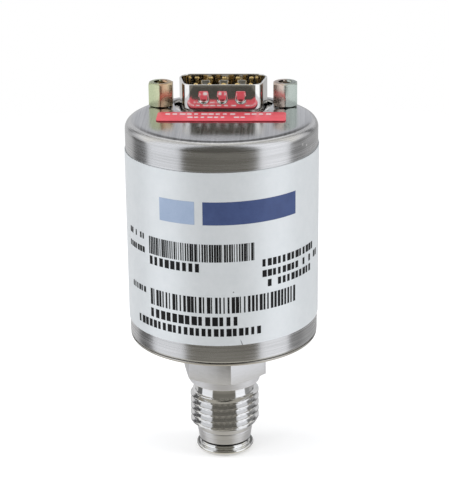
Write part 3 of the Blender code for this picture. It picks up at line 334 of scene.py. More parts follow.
def noise(tree, scale, detail=2.0, roughness=0.55, distortion=0.0):
    """Noise on the piece's own coordinates. scale is per millimetre along X, Y and Z."""
    stretched = add_node(tree, "ShaderNodeMapping", Vector=own_place(tree),
                         Scale=tuple(value / MM for value in scale))
    cloud = add_node(tree, "ShaderNodeTexNoise", Vector=stretched.outputs["Vector"], Scale=1.0,
                     Detail=detail, Roughness=roughness, Distortion=distortion)
    return Value(tree, cloud.outputs["Fac"])


def spread(tree, factor, low, high, start=0.3, end=0.7):
    """Maps the range from start to end onto the range from low to high."""
    node = add_node(tree, "ShaderNodeMapRange", Value=factor, From_Min=start, From_Max=end,
                    To_Min=low, To_Max=high)
    return Value(tree, node.outputs["Result"])


def blend(tree, factor, first, second, mode='MIX'):
    """Mixes two colours by a factor."""
    node = add_node(tree, "ShaderNodeMix", {"data_type": 'RGBA', "blend_type": mode})
    feed(tree, node.inputs[0], factor)
    for socket, value in ((node.inputs[6], first), (node.inputs[7], second)):
        feed(tree, socket, (*value, 1.0) if isinstance(value, tuple) else value)
    return node.outputs[2]


def bump(tree, height, depth):
    """The normal of a rough surface. depth is in micrometres."""
    node = add_node(tree, "ShaderNodeBump", Height=height, Distance=depth * MICRON, Strength=1.0)
    return node.outputs["Normal"]


# %% A new material
MADE = []


def new_material(name):
    """A material with its tree and its shader."""
    MADE.append(name)
    material = bpy.data.materials.new(name)
    material.use_nodes = True
    tree = material.node_tree
    return material, tree, tree.nodes["Principled BSDF"]


# %% [markdown]
# ## Finishes of the metals
#
# Brushed, turned, milled and plated metal differ in one thing: the shape of their fine scratches. All
# are noise that is drawn out along the tool's path, which shades the colour, the roughness and a slight
# bump. An image of steel could be wrapped on, but noise has no seams and stays sharp close up. On the
# brushed can the anisotropy also spreads each reflection across the scratches, as real brushing does.

# %% Metal with a grain
SMUDGE = (0.05, 0.05, 0.05)
COARSER = 0.23
GRAIN_RANGE = (0.38, 0.62)


def metal(name, colours, roughness, grain, depth=0.4, anisotropy=0.0, across=(0.0, 0.0, 0.0)):
    """Metal whose grain is drawn out along the axes with the small scales.

    colours are the dark and light sides of the grain, and roughness its low and high value.
    depth is the grain's height in micrometres. across is the direction across the scratches.
    """
    material, tree, shader = new_material(name)
    fine = noise(tree, grain, detail=3.0, roughness=0.7)
    coarse = noise(tree, tuple(value * COARSER for value in grain))
    cloud = noise(tree, SMUDGE, roughness=0.5)
    grey = coarse * 0.5 + fine * 0.5
    colour = blend(tree, spread(tree, grey, 0.0, 1.0, *GRAIN_RANGE), *colours)
    worn = spread(tree, cloud, -0.5, 0.5) * 0.06 + spread(tree, grey, *roughness, *GRAIN_RANGE)
    fill(tree, shader, Base_Color=blend(tree, 1.0, colour, spread(tree, cloud, 0.93, 1.0), 'MULTIPLY'),
         Roughness=worn, Metallic=1.0, Normal=bump(tree, grey, depth))
    if anisotropy:
        fill(tree, shader, Anisotropic=anisotropy, Tangent=vector(tree, *across))
    return material


# %% The metals of this switch
CAN_SIDE = metal("can_brushed_round", ((0.50, 0.50, 0.50), (0.70, 0.70, 0.71)), (0.20, 0.32),
                 (0.05, 0.05, 6.0), 2.0, anisotropy=0.6, across=(0.0, 0.0, 1.0))
CAN_TOP = metal("can_brushed_top", ((0.50, 0.50, 0.51), (0.70, 0.70, 0.71)), (0.13, 0.21),
                (5.0, 0.06, 5.0), 1.8, anisotropy=0.8, across=(1.0, 0.0, 0.0))
BASE_STEEL = metal("base_turned", ((0.55, 0.53, 0.50), (0.72, 0.70, 0.67)), (0.25, 0.38),
                   (0.06, 0.06, 5.0), 1.5)
NUT_MILLED = metal("nut_milled", ((0.72, 0.72, 0.73), (0.82, 0.82, 0.84)), (0.42, 0.52),
                   (0.7, 0.7, 2.2), 2.0)
NUT_SATIN = metal("nut_satin", ((0.90, 0.90, 0.93), (0.97, 0.97, 0.99)), (0.64, 0.72),
                  (0.08, 0.08, 9.0), 1.0)
NUT_TURNED = metal("nut_turned", ((0.64, 0.64, 0.66), (0.80, 0.80, 0.82)), (0.36, 0.46),
                   (0.08, 0.08, 9.0), 1.0)
NUT_POLISHED = metal("nut_polished", ((0.68, 0.68, 0.68), (0.80, 0.80, 0.80)), (0.06, 0.12),
                     (0.08, 0.08, 6.0), 0.3)
GLAND_POLISHED = metal("gland_polished", ((0.74, 0.74, 0.73), (0.82, 0.82, 0.81)), (0.05, 0.10),
                       (0.1, 0.1, 12.0), 0.3)
TIN_PLATE = metal("tin_plate_bright", ((0.80, 0.79, 0.76), (0.90, 0.89, 0.87)), (0.05, 0.12),
                  (1.6, 1.6, 1.6), 0.8)
GOLD_PLATE = metal("gold_plate_satin", ((0.72, 0.50, 0.20), (0.90, 0.70, 0.34)), (0.16, 0.26),
                   (3.0, 3.0, 3.0), 0.5)
BRASS = metal("brass_drawn", ((0.58, 0.42, 0.18), (0.74, 0.57, 0.29)), (0.22, 0.36),
              (2.0, 2.0, 2.0), 1.0)
COPPER = metal("copper_dull", ((0.62, 0.32, 0.20), (0.78, 0.45, 0.30)), (0.25, 0.40),
               (2.0, 2.0, 2.0), 1.0)
STEEL_INSIDE = metal("sensor_steel", ((0.56, 0.56, 0.57), (0.70, 0.70, 0.71)), (0.22, 0.34),
                     (0.1, 0.1, 7.0), 1.0)
print("metals:", len(MADE))

# %% [markdown]
# ## Yellow zinc plate
#
# The jackscrews are zinc-plated and passivated yellow. The film is so thin that it shows pale yellow,
# orange, pink and green in patches, like oil on water. A thin-film shader could work these colours out,
# but a ramp of the few tints that such a film has is steadier, and keeps in any viewer. The ramp runs
# from the left screw to the right one, with slow noise that shifts it.

# %% Zinc plate with drifting tints
ZINC_RUN = 32.0


def zinc_plate():
    material, tree, shader = new_material("zinc_yellow")
    across = parts_of(tree, own_place(tree))[0]
    drift = noise(tree, (0.35, 0.35, 0.22), detail=1.5, distortion=0.6)
    tints = colour_ramp(tree, across / (ZINC_RUN * MM) + (drift * 0.06 + 0.47), [
        (0.06, (0.51, 0.56, 0.36)), (0.10, (0.62, 0.64, 0.42)), (0.118, (0.60, 0.38, 0.24)),
        (0.16, (0.66, 0.52, 0.34)), (0.84, (0.64, 0.53, 0.46)), (0.885, (0.72, 0.61, 0.52)),
        (0.90, (0.52, 0.57, 0.52)), (0.95, (0.42, 0.47, 0.43))])
    speck = noise(tree, (4.0, 4.0, 4.0), detail=3.0)
    fill(tree, shader, Base_Color=blend(tree, 1.0, tints, spread(tree, speck, 0.90, 1.0), 'MULTIPLY'),
         Roughness=spread(tree, speck, 0.18, 0.30), Metallic=1.0, Normal=bump(tree, speck, 0.5))
    return material


ZINC = zinc_plate()

# %% [markdown]
# ## Films, plastics and the rest
#
# The labels are printed plastic film: even in colour, with a faint mottle and a soft gloss. The wrap
# label is matt silver film, so it darkens a little where it faces the dark front. Moulded plastic has a
# fine grain and a sharper gloss. One helper makes all of these from noise, with the gloss set straight
# on the shader so that it travels with an exported model.

# %% Films, plastics, laminate, ceramic and glass
MOTTLE = (0.4, 0.4, 0.4)


def dull(name, colours, roughness, grain, depth=1.0, coat=0.0, silver=0.0, gloss=0.5):
    """A colour that drifts between two, and a fine bump. silver is the share of metal in it."""
    material, tree, shader = new_material(name)
    fine = noise(tree, (grain, grain, grain), detail=3.0)
    mixed = noise(tree, MOTTLE, detail=3.0) * 0.6 + fine * 0.4
    fill(tree, shader, Base_Color=blend(tree, spread(tree, mixed, 0.0, 1.0, 0.35, 0.65), *colours),
         Roughness=spread(tree, fine, *roughness), Metallic=silver, Specular_IOR_Level=gloss,
         Coat_Weight=coat, Coat_Roughness=0.2, Normal=bump(tree, fine, depth))
    return material


# %% The films, inks and plastics of this switch
WRAP_FILM = dull("wrap_film", ((0.675, 0.705, 0.72), (0.715, 0.74, 0.755)), (0.38, 0.48), 1.2, 0.8,
                 silver=0.28)
RED_FILM = dull("red_film", ((0.70, 0.072, 0.10), (0.76, 0.095, 0.125)), (0.36, 0.48), 1.5, 0.8)
BLACK_INK = dull("black_ink", ((0.005, 0.005, 0.006), (0.010, 0.010, 0.011)), (0.45, 0.6), 3.0, gloss=0.2)
NAVY_INK = dull("navy_ink", ((0.035, 0.06, 0.17), (0.045, 0.075, 0.20)), (0.40, 0.55), 2.0)
PALE_INK = dull("pale_ink", ((0.30, 0.38, 0.52), (0.34, 0.42, 0.56)), (0.40, 0.55), 2.0)
WHITE_INK = dull("white_ink", ((0.74, 0.62, 0.62), (0.80, 0.70, 0.70)), (0.40, 0.55), 2.0)
BLACK_PLASTIC = dull("moulded_black", ((0.018, 0.018, 0.02), (0.03, 0.03, 0.032)), (0.32, 0.46), 4.0)
BLUE_PLASTIC = dull("moulded_blue", ((0.03, 0.10, 0.36), (0.05, 0.14, 0.44)), (0.30, 0.44), 4.0)
LAMINATE = dull("board_laminate", ((0.02, 0.13, 0.05), (0.035, 0.19, 0.08)), (0.30, 0.42), 6.0, coat=0.3)
CERAMIC = dull("ceramic_fired", ((0.78, 0.76, 0.71), (0.84, 0.82, 0.78)), (0.50, 0.66), 5.0)
SEAL_GLASS = dull("seal_glass", ((0.05, 0.16, 0.14), (0.08, 0.22, 0.19)), (0.06, 0.14), 2.0, coat=0.6)
print("finishes in all:", len(MADE))

# %% [markdown]
# ## The can
#
# The can is drawn from one sheet of stainless steel: a flat top with a rounded shoulder, and a thin
# wall. It was brushed round its side and in one straight direction on top. It could be a bevelled
# cylinder, but a turned profile gives the exact shoulder: the top rolls off gently near its rim, then
# turns down in a tight arc. A real cut makes the connector's D-shaped opening. The film of the wrap
# label lies on it with a little air, so both keep their own surface.

# %% Sizes of the can and its places
CAN_RADIUS = 19.05
CAN_WALL = 0.6
CAN_SHOULDER = 1.5
CAN_ROLL = 9.0
CAN_ROLL_START = 16.3
CAN_ROLL_END = 17.6
CAN_LIP = 0.8
CAN_LIP_LEAN = 35.0
CAN_BURR = 0.04
CAN_BOTTOM = 26.93
CAN_TOP_FACE = 71.49
CONNECTOR_BEHIND = 8.85
JACKSCREW_REACH = 12.495
CAN_OPENING = (20.40, 10.80)
CAN_OPENING_CORNER = 3.0
CUT_EDGE = 0.12
D_OPENING = (16.92, 8.36)
D_CORNER = 2.2
D_SLOPE = math.radians(10.0)
D_WALL = 0.4
STUD_HOLE = 1.62


def d_outline(size, corner, offset, steps=8):
    """The connector's D about its own centre, wide side to the back, moved out by offset."""
    wide = size[0] / 2 - corner
    reach = size[1] / 2 - corner
    narrow = wide - 2 * reach * math.tan(D_SLOPE)
    lean = math.degrees(D_SLOPE)
    radius = corner + offset
    points = arc((wide, reach), radius, -lean, 90.0, steps)
    points += arc((-wide, reach), radius, 90.0, 180.0 + lean, steps)
    points += arc((-narrow, -reach), radius, 180.0 + lean, 270.0, steps)
    points += arc((narrow, -reach), radius, 270.0, 360.0 - lean, steps)
    return points


def behind(points):
    """Moves an outline back to the connector's centre."""
    return [(x, y + CONNECTOR_BEHIND) for x, y in points]


def round_hole(item, radius, bottom, top, place, steps=48):
    """Cuts an upright round hole."""
    return cut(item, rod("drill", radius, bottom, top, steps, place))


def stud_holes(item, bottom, top):
    """Cuts the two holes for the jackscrews' studs."""
    for side in (-1, 1):
        round_hole(item, STUD_HOLE, bottom, top, (side * JACKSCREW_REACH, CONNECTOR_BEHIND))


# %% The can with its openings
def make_can():
    inner = CAN_SHOULDER - CAN_WALL
    roll = math.radians(CAN_ROLL)
    sine, cosine = math.sin(roll), math.cos(roll)
    easy = (CAN_ROLL_END - CAN_ROLL_START) / sine
    tight = (CAN_RADIUS - CAN_ROLL_END) / (1.0 - sine)
    drop = easy * (1.0 - cosine)
    profile = [(0.0, CAN_TOP_FACE)]
    profile += arc((CAN_ROLL_START, CAN_TOP_FACE - easy), easy, 90.0, 90.0 - CAN_ROLL, 6)
    profile += arc((CAN_ROLL_END - tight * sine, CAN_TOP_FACE - drop - tight * cosine), tight,
                   90.0 - CAN_ROLL, 0.0, 14)[1:]
    lean = math.radians(CAN_LIP_LEAN)
    profile += arc((CAN_RADIUS - CAN_LIP, CAN_BOTTOM + CAN_BURR + CAN_LIP * math.sin(lean)), CAN_LIP, 0.0,
                   -CAN_LIP_LEAN, 6)
    profile += [(CAN_RADIUS - CAN_LIP * (1.0 - math.cos(lean)) - CAN_BURR, CAN_BOTTOM),
                (CAN_RADIUS - CAN_WALL, CAN_BOTTOM)]
    centre = (CAN_RADIUS - CAN_WALL - inner, CAN_TOP_FACE - CAN_WALL - inner)
    profile += arc(centre, inner, 0.0, 90.0, 6)
    profile += [(0.0, CAN_TOP_FACE - CAN_WALL)]
    can = turned("can", profile, 256)
    low, high = CAN_TOP_FACE - 2 * OVERCUT, CAN_TOP_FACE + OVERCUT
    cut(can, extruded("opening", behind(d_outline(CAN_OPENING, CAN_OPENING_CORNER, 0.0)), low, high))
    stud_holes(can, low, high)
    soften(can, CUT_EDGE, 60.0)
    for face in can.data.polygons:
        if face.normal.z > 0.94 and face.center.z > CAN_TOP_FACE - CAN_SHOULDER:
            face.material_index = 1
    return hand_over(can, "can_shell", [CAN_SIDE, CAN_TOP], stands_for=["cover"])


make_can()

# %% [markdown]
# ## The base
#
# The base closes the can from below. Only its rounded rim shows, as a thin bright line round the
# bottom of the can, and it hides the three threaded holes that carry the pillars inside. It is one
# turned profile, cut by three drills where the CAD model says that the pillars stand.

# %% Base with its spigot and pillar holes
BASE_BOTTOM = 26.24
BASE_TOP = 30.24
BASE_RIM = 19.0
BASE_RIM_TOP = 26.84
BASE_EDGE = 0.5
SPIGOT = 18.15
SPIGOT_CHAMFER = 0.3
BASE_BORE = 3.475
BASE_BURR = 0.05
PILLAR_HOLE = 1.0
PILLAR_HOLE_BOTTOM = 27.74


def make_base():
    profile = [(SPIGOT - SPIGOT_CHAMFER, BASE_TOP), (SPIGOT, BASE_TOP - SPIGOT_CHAMFER),
               (SPIGOT, BASE_RIM_TOP), (BASE_RIM - BASE_BURR, BASE_RIM_TOP),
               (BASE_RIM, BASE_RIM_TOP - BASE_BURR)]
    profile += arc((BASE_RIM - BASE_EDGE, BASE_BOTTOM + BASE_EDGE), BASE_EDGE, 0.0, -90.0, 8)
    profile += [(BASE_BORE, BASE_BOTTOM), (BASE_BORE, BASE_TOP)]
    base = turned("base", profile, 256)
    for number in (1, 2, 3):
        low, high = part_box("pillar_%d" % number)
        place = ((low.x + high.x) / 2 / MM, (low.y + high.y) / 2 / MM)
        round_hole(base, PILLAR_HOLE, PILLAR_HOLE_BOTTOM, BASE_TOP + OVERCUT, place, 24)
    return hand_over(base, "closing_base", [BASE_STEEL], stands_for=["base"])


make_base()

# %% [markdown]
# ## A tree that cuts threads
#
# A screw thread is a groove that climbs evenly as it goes round. It could be a spun profile, but then
# its ends would need patching. Here a flat grid is rolled into a tube, and each point moves out by a
# saw-shaped rule that depends on its height less its share of a turn. The rule fades out at both ends,
# as a chamfer does, so the tube closes on to plain turned parts. One tree with named sizes cuts the
# nut's outside thread and the taps for the jackscrews' holes.

# %% Groups of geometry nodes with named inputs
def new_tree(name, sizes):
    """A geometry tree whose inputs are named sizes, and those inputs as Values."""
    tree = bpy.data.node_groups.new(name, "GeometryNodeTree")
    tree.interface.new_socket("Geometry", in_out='OUTPUT', socket_type='NodeSocketGeometry')
    for label, value in sizes.items():
        kind = 'NodeSocketInt' if isinstance(value, int) else 'NodeSocketFloat'
        socket = tree.interface.new_socket(label, in_out='INPUT', socket_type=kind)
        socket.default_value = value
    tree.interface.new_socket("Finish", in_out='INPUT', socket_type='NodeSocketMaterial')
    named = {socket.name: Value(tree, socket) for socket in tree.nodes.new("NodeGroupInput").outputs}
    return tree, named


def close_tree(tree, geometry, named):
    """Ends a tree in Realize Instances and Set Material."""
    real = add_node(tree, "GeometryNodeRealizeInstances", Geometry=geometry)
    painted = add_node(tree, "GeometryNodeSetMaterial", Geometry=real.outputs["Geometry"],
                       Material=named["Finish"])
    add_node(tree, "NodeGroupOutput", Geometry=painted.outputs["Geometry"])
    return tree


def moved(tree, geometry, place):
    """Geometry whose points are moved to a place of their own."""
    return add_node(tree, "GeometryNodeSetPosition", Geometry=geometry, Position=place).outputs["Geometry"]


def point_parts(tree):
    """The X, Y and Z of each point."""
    return parts_of(tree, tree.nodes.new("GeometryNodeInputPosition").outputs["Position"])


# %% A mesh that a tree grows
def grown(name, tree, finish, **sizes):
    """The mesh that a tree grows with these sizes, as a plain working object."""
    item = working_object(name, bmesh.new())
    step = item.modifiers.new(tree.name, 'NODES')
    step.node_group = tree
    for socket in tree.interface.items_tree:
        if socket.in_out != 'INPUT':
            continue
        key = socket.name.lower().replace(" ", "_")
        if key in sizes:
            step[socket.identifier] = sizes[key]
        elif socket.name == "Finish":
            step[socket.identifier] = finish
    return settle(item)


# %% The thread tree
THREAD_SIZES = {"Core radius": 6.32, "Ridge": 0.78, "Root share": 0.12, "Crest share": 0.20, "Pitch": 1.411,
                "Start": 0.0, "Bottom": 0.0, "Length": 7.0, "Run out": 0.25, "Steps round": 144,
                "Steps up": 180}


def thread_tree():
    tree, named = new_tree("screw_thread", THREAD_SIZES)
    grid = add_node(tree, "GeometryNodeMeshGrid", Size_X=1.0, Size_Y=1.0,
                    Vertices_X=named["Steps round"] + 1, Vertices_Y=named["Steps up"] + 1)
    across, up, _ = point_parts(tree)
    turn = across + 0.5
    climb = (up + 0.5) * named["Length"]
    height = climb + named["Bottom"]
    phase = maths(tree, 'FRACT', (height - named["Start"]) / named["Pitch"] - turn)
    flank = spread(tree, abs(phase * 2.0 - 1.0), 0.0, 1.0, named["Root share"], 1.0 - named["Crest share"])
    from_end = maths(tree, 'MINIMUM', climb, named["Length"] - climb)
    fade = maths(tree, 'DIVIDE', from_end, named["Run out"], clamp=True)
    radius = maths(tree, 'MINIMUM', flank, fade) * named["Ridge"] + named["Core radius"]
    angle = turn * (2 * math.pi)
    tube = moved(tree, grid.outputs["Mesh"], vector(tree, radius * maths(tree, 'COSINE', angle),
                                                    radius * maths(tree, 'SINE', angle), height))
    closed = add_node(tree, "GeometryNodeMergeByDistance", Geometry=tube, Distance=0.0005)
    return close_tree(tree, closed.outputs["Geometry"], named)


THREAD = thread_tree()
print("thread tree inputs:", [socket.name for socket in THREAD.interface.items_tree])

# %% [markdown]
# ## The male nut
#
# The nut is milled and turned from one bar: a hexagon for the spanner, a collar, an undercut, the
# thread and a plain nose. It turns freely on the gland's tube. The hexagon is a bar cut to a chamfered
# blank, and the shank is a chain of turned sleeves round the true thread. They share their rings of
# points, so the shank is one closed surface.

# %% Sizes of the nut
NUT_BOTTOM = 2.44
NOSE_RADIUS = 5.4
NOSE_ROOT = 5.85
NOSE_EDGE = 0.25
NOSE_LINE = 4.87
LINE_HALF = 0.12
LINE_DEPTH = 0.06
ROOT_EASE = 0.08
THREAD_BOTTOM = 6.1
THREAD_TOP = 13.3
THREAD_CORE = 6.32
THREAD_START = 0.21
UNDERCUT = 6.15
UNDERCUT_FILLET = 0.2
COLLAR_BOTTOM = 15.59
COLLAR_RADIUS = 7.35
COLLAR_EDGE = 0.3
SHANK_TOP = 17.94
HEX_BOTTOM = 17.44
HEX_TOP = 23.04
HEX_FLATS = 15.875
HEX_CORNER = -79.5
NUT_BORE = 3.525
BORE_CHAMFER = 0.15


def hexagon(name, flats, bottom, top, corner, place=AXIS, steps=128, lean=30.0, inset=0.2):
    """A hexagonal bar with one corner at an angle from +X, and a chamfer of lean degrees at each end."""
    reach = flats / 2 / math.cos(math.radians(30.0))
    bar = extruded(name, arc(place, reach, corner, corner + 300.0, 5), bottom, top)
    reach += OVERCUT
    face = flats / 2 - inset
    drop = (reach - face) * math.tan(math.radians(lean))
    blank = [(0.0, top), (face, top), (reach, top - drop), (reach, bottom + drop), (face, bottom),
             (0.0, bottom)]
    return cut(bar, turned("blank", blank, steps, place), 'INTERSECT')


# %% The shank
def make_shank(steps):
    """The nose, the thread and the neck, merged where they share a ring of points."""
    below = [(NUT_BORE, THREAD_BOTTOM), (NUT_BORE, NUT_BOTTOM + BORE_CHAMFER),
             (NUT_BORE + BORE_CHAMFER, NUT_BOTTOM), (NOSE_RADIUS - NOSE_EDGE, NUT_BOTTOM)]
    below += arc((NOSE_RADIUS - NOSE_EDGE, NUT_BOTTOM + NOSE_EDGE), NOSE_EDGE, -90.0, 0.0, 4)
    rise = (NOSE_LINE - NUT_BOTTOM) / (THREAD_BOTTOM - NUT_BOTTOM)
    groove = NOSE_RADIUS + (NOSE_ROOT - NOSE_RADIUS) * rise
    below += [(groove, NOSE_LINE - LINE_HALF), (groove - LINE_DEPTH, NOSE_LINE),
              (groove, NOSE_LINE + LINE_HALF), (NOSE_ROOT, THREAD_BOTTOM - ROOT_EASE),
              (NOSE_ROOT + ROOT_EASE, THREAD_BOTTOM), (THREAD_CORE, THREAD_BOTTOM)]
    above = [(THREAD_CORE, THREAD_TOP), (UNDERCUT, THREAD_TOP + 0.1)]
    above += arc((UNDERCUT + UNDERCUT_FILLET, COLLAR_BOTTOM - UNDERCUT_FILLET), UNDERCUT_FILLET,
                 180.0, 90.0, 4)
    above += arc((COLLAR_RADIUS - COLLAR_EDGE, COLLAR_BOTTOM + COLLAR_EDGE), COLLAR_EDGE, -90.0, 0.0, 5)
    above += [(COLLAR_RADIUS, SHANK_TOP), (NUT_BORE, SHANK_TOP), (NUT_BORE, THREAD_BOTTOM)]
    thread = grown("thread", THREAD, NUT_TURNED, core_radius=THREAD_CORE, start=THREAD_START,
                   bottom=THREAD_BOTTOM, length=THREAD_TOP - THREAD_BOTTOM)
    shank = joined("shank", [turned("nose", below, steps, ring=False),
                             thread, turned("neck", above, steps, ring=False)])
    shape = bmesh.new()
    shape.from_mesh(shank.data)
    bpy.data.objects.remove(shank)
    bmesh.ops.remove_doubles(shape, verts=shape.verts, dist=0.002)
    print("open edges on the shank:", sum(len(edge.link_faces) != 2 for edge in shape.edges))
    return finished("shank", shape)


# %% The nut
def make_nut():
    steps = THREAD_SIZES["Steps round"]
    shank = make_shank(steps)
    hex_bar = hexagon("hex_bar", HEX_FLATS, HEX_BOTTOM, HEX_TOP, HEX_CORNER, lean=14.0, inset=0.05)
    round_hole(hex_bar, NUT_BORE, HEX_BOTTOM - OVERCUT, HEX_TOP + OVERCUT, AXIS, steps)
    soften(hex_bar, 0.1, 24.0)
    nut = joined("nut", [shank, hex_bar])
    hand_over(nut, "nut", [NUT_TURNED, NUT_MILLED, NUT_POLISHED, NUT_SATIN], "male_nut",
              ["male_nut"], 30.0)
    for face in nut.data.polygons:
        middle = face.center / MM
        if math.hypot(middle.x, middle.y) < NUT_BORE + 0.1:
            continue
        if middle.z > HEX_BOTTOM - 0.05:
            face.material_index = 1
        elif middle.z > COLLAR_BOTTOM + 0.05:
            face.material_index = 3
        elif middle.z > THREAD_BOTTOM - 0.02:
            face.material_index = 2
    return nut


make_nut()

# %% [markdown]
# ## The gland
#
# The gland is what the fitting seals with. Its face carries a small round bead that bites into a metal
# gasket, and the thin lip round it is polished. A tube runs up from it through the nut into the sensor.
# It is turned in one piece, with real arcs on the bead, the lip and the neck.

# %% Gland with its bead, lip, neck and tube
BEAD_RADIUS = 4.5
BEAD_HALF = 0.65
BEAD_HEIGHT = 0.5
LIP_RADIUS = 5.95
LIP_TOP = 1.25
LIP_EDGE = 0.26
LIP_LOW_EDGE = 0.46
NECK_RADIUS = 4.95
NECK_FILLET = 0.3
HEAD_TOP = 2.14
TUBE_RADIUS = 3.175
TUBE_BORE = 2.285
TUBE_TOP = 32.34
TUBE_FILLET = 0.15
TUBE_CHAMFER = 0.2


def make_gland():
    profile = [(TUBE_RADIUS, TUBE_TOP)]
    profile += arc((TUBE_RADIUS + TUBE_FILLET, HEAD_TOP + TUBE_FILLET), TUBE_FILLET, 180.0, 270.0, 4)
    profile += arc((NECK_RADIUS + NECK_FILLET, HEAD_TOP - NECK_FILLET), NECK_FILLET, 90.0, 180.0, 5)
    profile += arc((NECK_RADIUS + NECK_FILLET, LIP_TOP + NECK_FILLET), NECK_FILLET, 180.0, 270.0, 5)
    profile += arc((LIP_RADIUS - LIP_EDGE, LIP_TOP - LIP_EDGE), LIP_EDGE, 90.0, 0.0, 5)
    profile += arc((LIP_RADIUS - LIP_LOW_EDGE, BEAD_HEIGHT + LIP_LOW_EDGE), LIP_LOW_EDGE, 0.0, -90.0, 7)
    profile += [(BEAD_RADIUS + BEAD_HALF * across, BEAD_HEIGHT * (1.0 - down))
                for across, down in arc(AXIS, 1.0, 0.0, 180.0, 12)]
    profile += [(TUBE_BORE + TUBE_CHAMFER, BEAD_HEIGHT), (TUBE_BORE, BEAD_HEIGHT + TUBE_CHAMFER),
                (TUBE_BORE, TUBE_TOP)]
    gland = turned("gland_turned", profile, 160)
    return hand_over(gland, "gland_head", [GLAND_POLISHED], stands_for=["gland"])


make_gland()

# %% [markdown]
# ## The wrap label
#
# A printed plastic film goes once round the can and meets at the back with a small gap. It was put on
# a little askew, so its edges climb to the right. It could be a tube, but a grid bent round the can
# can climb as it goes, and its own flat coordinates show where the print belongs.

# %% The film
FILM_INSIDE = 19.1
FILM_THICKNESS = 0.12
FILM_BOTTOM = 30.79
FILM_TOP = 65.94
FILM_CLIMB = math.tan(math.radians(0.75))
FILM_HALF_TURN = math.radians(177.5)


def on_film(along, height, lift=FILM_THICKNESS):
    """The place on the can of a point on the flat film. along runs right from the front."""
    radius = FILM_INSIDE + lift
    angle = along / FILM_INSIDE
    return (radius * math.sin(angle), -radius * math.cos(angle), height + along * FILM_CLIMB)


def make_film():
    shape = bmesh.new()
    columns, rows = 280, 8
    half = FILM_HALF_TURN * FILM_INSIDE
    heights = [FILM_BOTTOM + (FILM_TOP - FILM_BOTTOM) * row / rows for row in range(rows + 1)]
    skins = []
    for column in range(columns + 1):
        along = -half + 2 * half * column / columns
        skins.append([[shape.verts.new(on_film(along, height, lift)) for height in heights]
                      for lift in (0.0, FILM_THICKNESS)])
    bridge(shape, [inner + outer[::-1] for inner, outer in skins])
    for end in (skins[0], skins[-1]):
        bridge(shape, end, closed=False)
    flat = shape.loops.layers.uv.new("flat_film")
    for face in shape.faces:
        for loop in face.loops:
            x, y, z = loop.vert.co
            loop[flat].uv = (math.atan2(x, -y) / (2 * math.pi) + 0.5,
                             (z - FILM_BOTTOM) / (FILM_TOP - FILM_BOTTOM))
    return hand_over(finished("film", shape), "wrap_film", [WRAP_FILM],
                     stands_for=["wrap_label"])


make_film()

# %% [markdown]
# ## Print
#
# The label is printed in navy, pale blue and black, with fields of colour, bars of random widths and
# rows of short dashes. The print could be painted in the material, but thin printed shapes stay sharp
# at any distance. One tree lays marks in a row, drops some of them, bends them round the can and lifts
# them off the film by a hair. With no bend it prints flat.

# %% The tree of printed marks
PRINT_LIFT = 0.02
PRINT_SIZES = {"Left": 0.0, "Bottom": 0.0, "Pitch": 1.0, "Marks": 10, "Narrowest": 0.5, "Widest": 1.0,
               "Mark height": 1.0, "Share printed": 1.0, "Seed": 1, "Bend": 1.0,
               "Radius": FILM_INSIDE + FILM_THICKNESS + PRINT_LIFT, "Climb": FILM_CLIMB, "Level": 0.0}


def print_tree():
    tree, named = new_tree("printed_marks", PRINT_SIZES)
    points = add_node(tree, "GeometryNodePoints", Count=named["Marks"]).outputs["Points"]
    index = Value(tree, tree.nodes.new("GeometryNodeInputIndex").outputs["Index"])
    laid = moved(tree, points, vector(tree, index * named["Pitch"] + named["Left"], named["Bottom"]))
    chance = add_node(tree, "FunctionNodeRandomValue", {"data_type": 'FLOAT'}, Seed=named["Seed"])
    dropped = add_node(tree, "FunctionNodeCompare", {"data_type": 'FLOAT', "operation": 'GREATER_THAN'},
                       A=chance.outputs["Value"], B=named["Share printed"])
    kept = add_node(tree, "GeometryNodeDeleteGeometry", Geometry=laid, Selection=dropped.outputs["Result"])
    width = add_node(tree, "FunctionNodeRandomValue", {"data_type": 'FLOAT'}, Min=named["Narrowest"],
                     Max=named["Widest"], Seed=named["Seed"] + 7)
    corner = add_node(tree, "GeometryNodeMeshGrid", Size_X=1.0, Size_Y=1.0, Vertices_X=4, Vertices_Y=2)
    aligned = add_node(tree, "GeometryNodeTransform", Geometry=corner.outputs["Mesh"],
                       Translation=(0.5, 0.5, 0.0))
    marks = add_node(tree, "GeometryNodeInstanceOnPoints", Points=kept.outputs["Geometry"],
                     Instance=aligned.outputs["Geometry"],
                     Scale=vector(tree, width.outputs["Value"], named["Mark height"], 1.0))
    real = add_node(tree, "GeometryNodeRealizeInstances", Geometry=marks.outputs["Instances"])
    along, up, _ = point_parts(tree)
    angle = along / named["Radius"]
    bent = vector(tree, named["Radius"] * maths(tree, 'SINE', angle),
                  named["Radius"] * -1.0 * maths(tree, 'COSINE', angle), along * named["Climb"] + up)
    choice = add_node(tree, "ShaderNodeMix", {"data_type": 'VECTOR'})
    for number, value in ((0, named["Bend"]), (4, vector(tree, along, up, named["Level"])), (5, bent)):
        feed(tree, choice.inputs[number], value)
    return close_tree(tree, moved(tree, real.outputs["Geometry"], choice.outputs[1]), named)


PRINT = print_tree()

# %% Bars and rows of small print on the wrap label
def block(left, bottom, right, top):
    """Sizes for one plain field, in millimetres on the flat film."""
    marks = 24
    pitch = (right - left) / marks
    return dict(left=left, bottom=bottom, marks=marks, pitch=pitch, narrowest=pitch, widest=pitch,
                mark_height=top - bottom)


def row_of(left, bottom, right, height, pitch, seed, narrowest, widest, **more):
    """Sizes for one row of marks. narrowest and widest are shares of the pitch."""
    return dict(left=left, bottom=bottom, marks=int((right - left) / pitch), pitch=pitch,
                narrowest=narrowest * pitch, widest=widest * pitch, mark_height=height, seed=seed, **more)


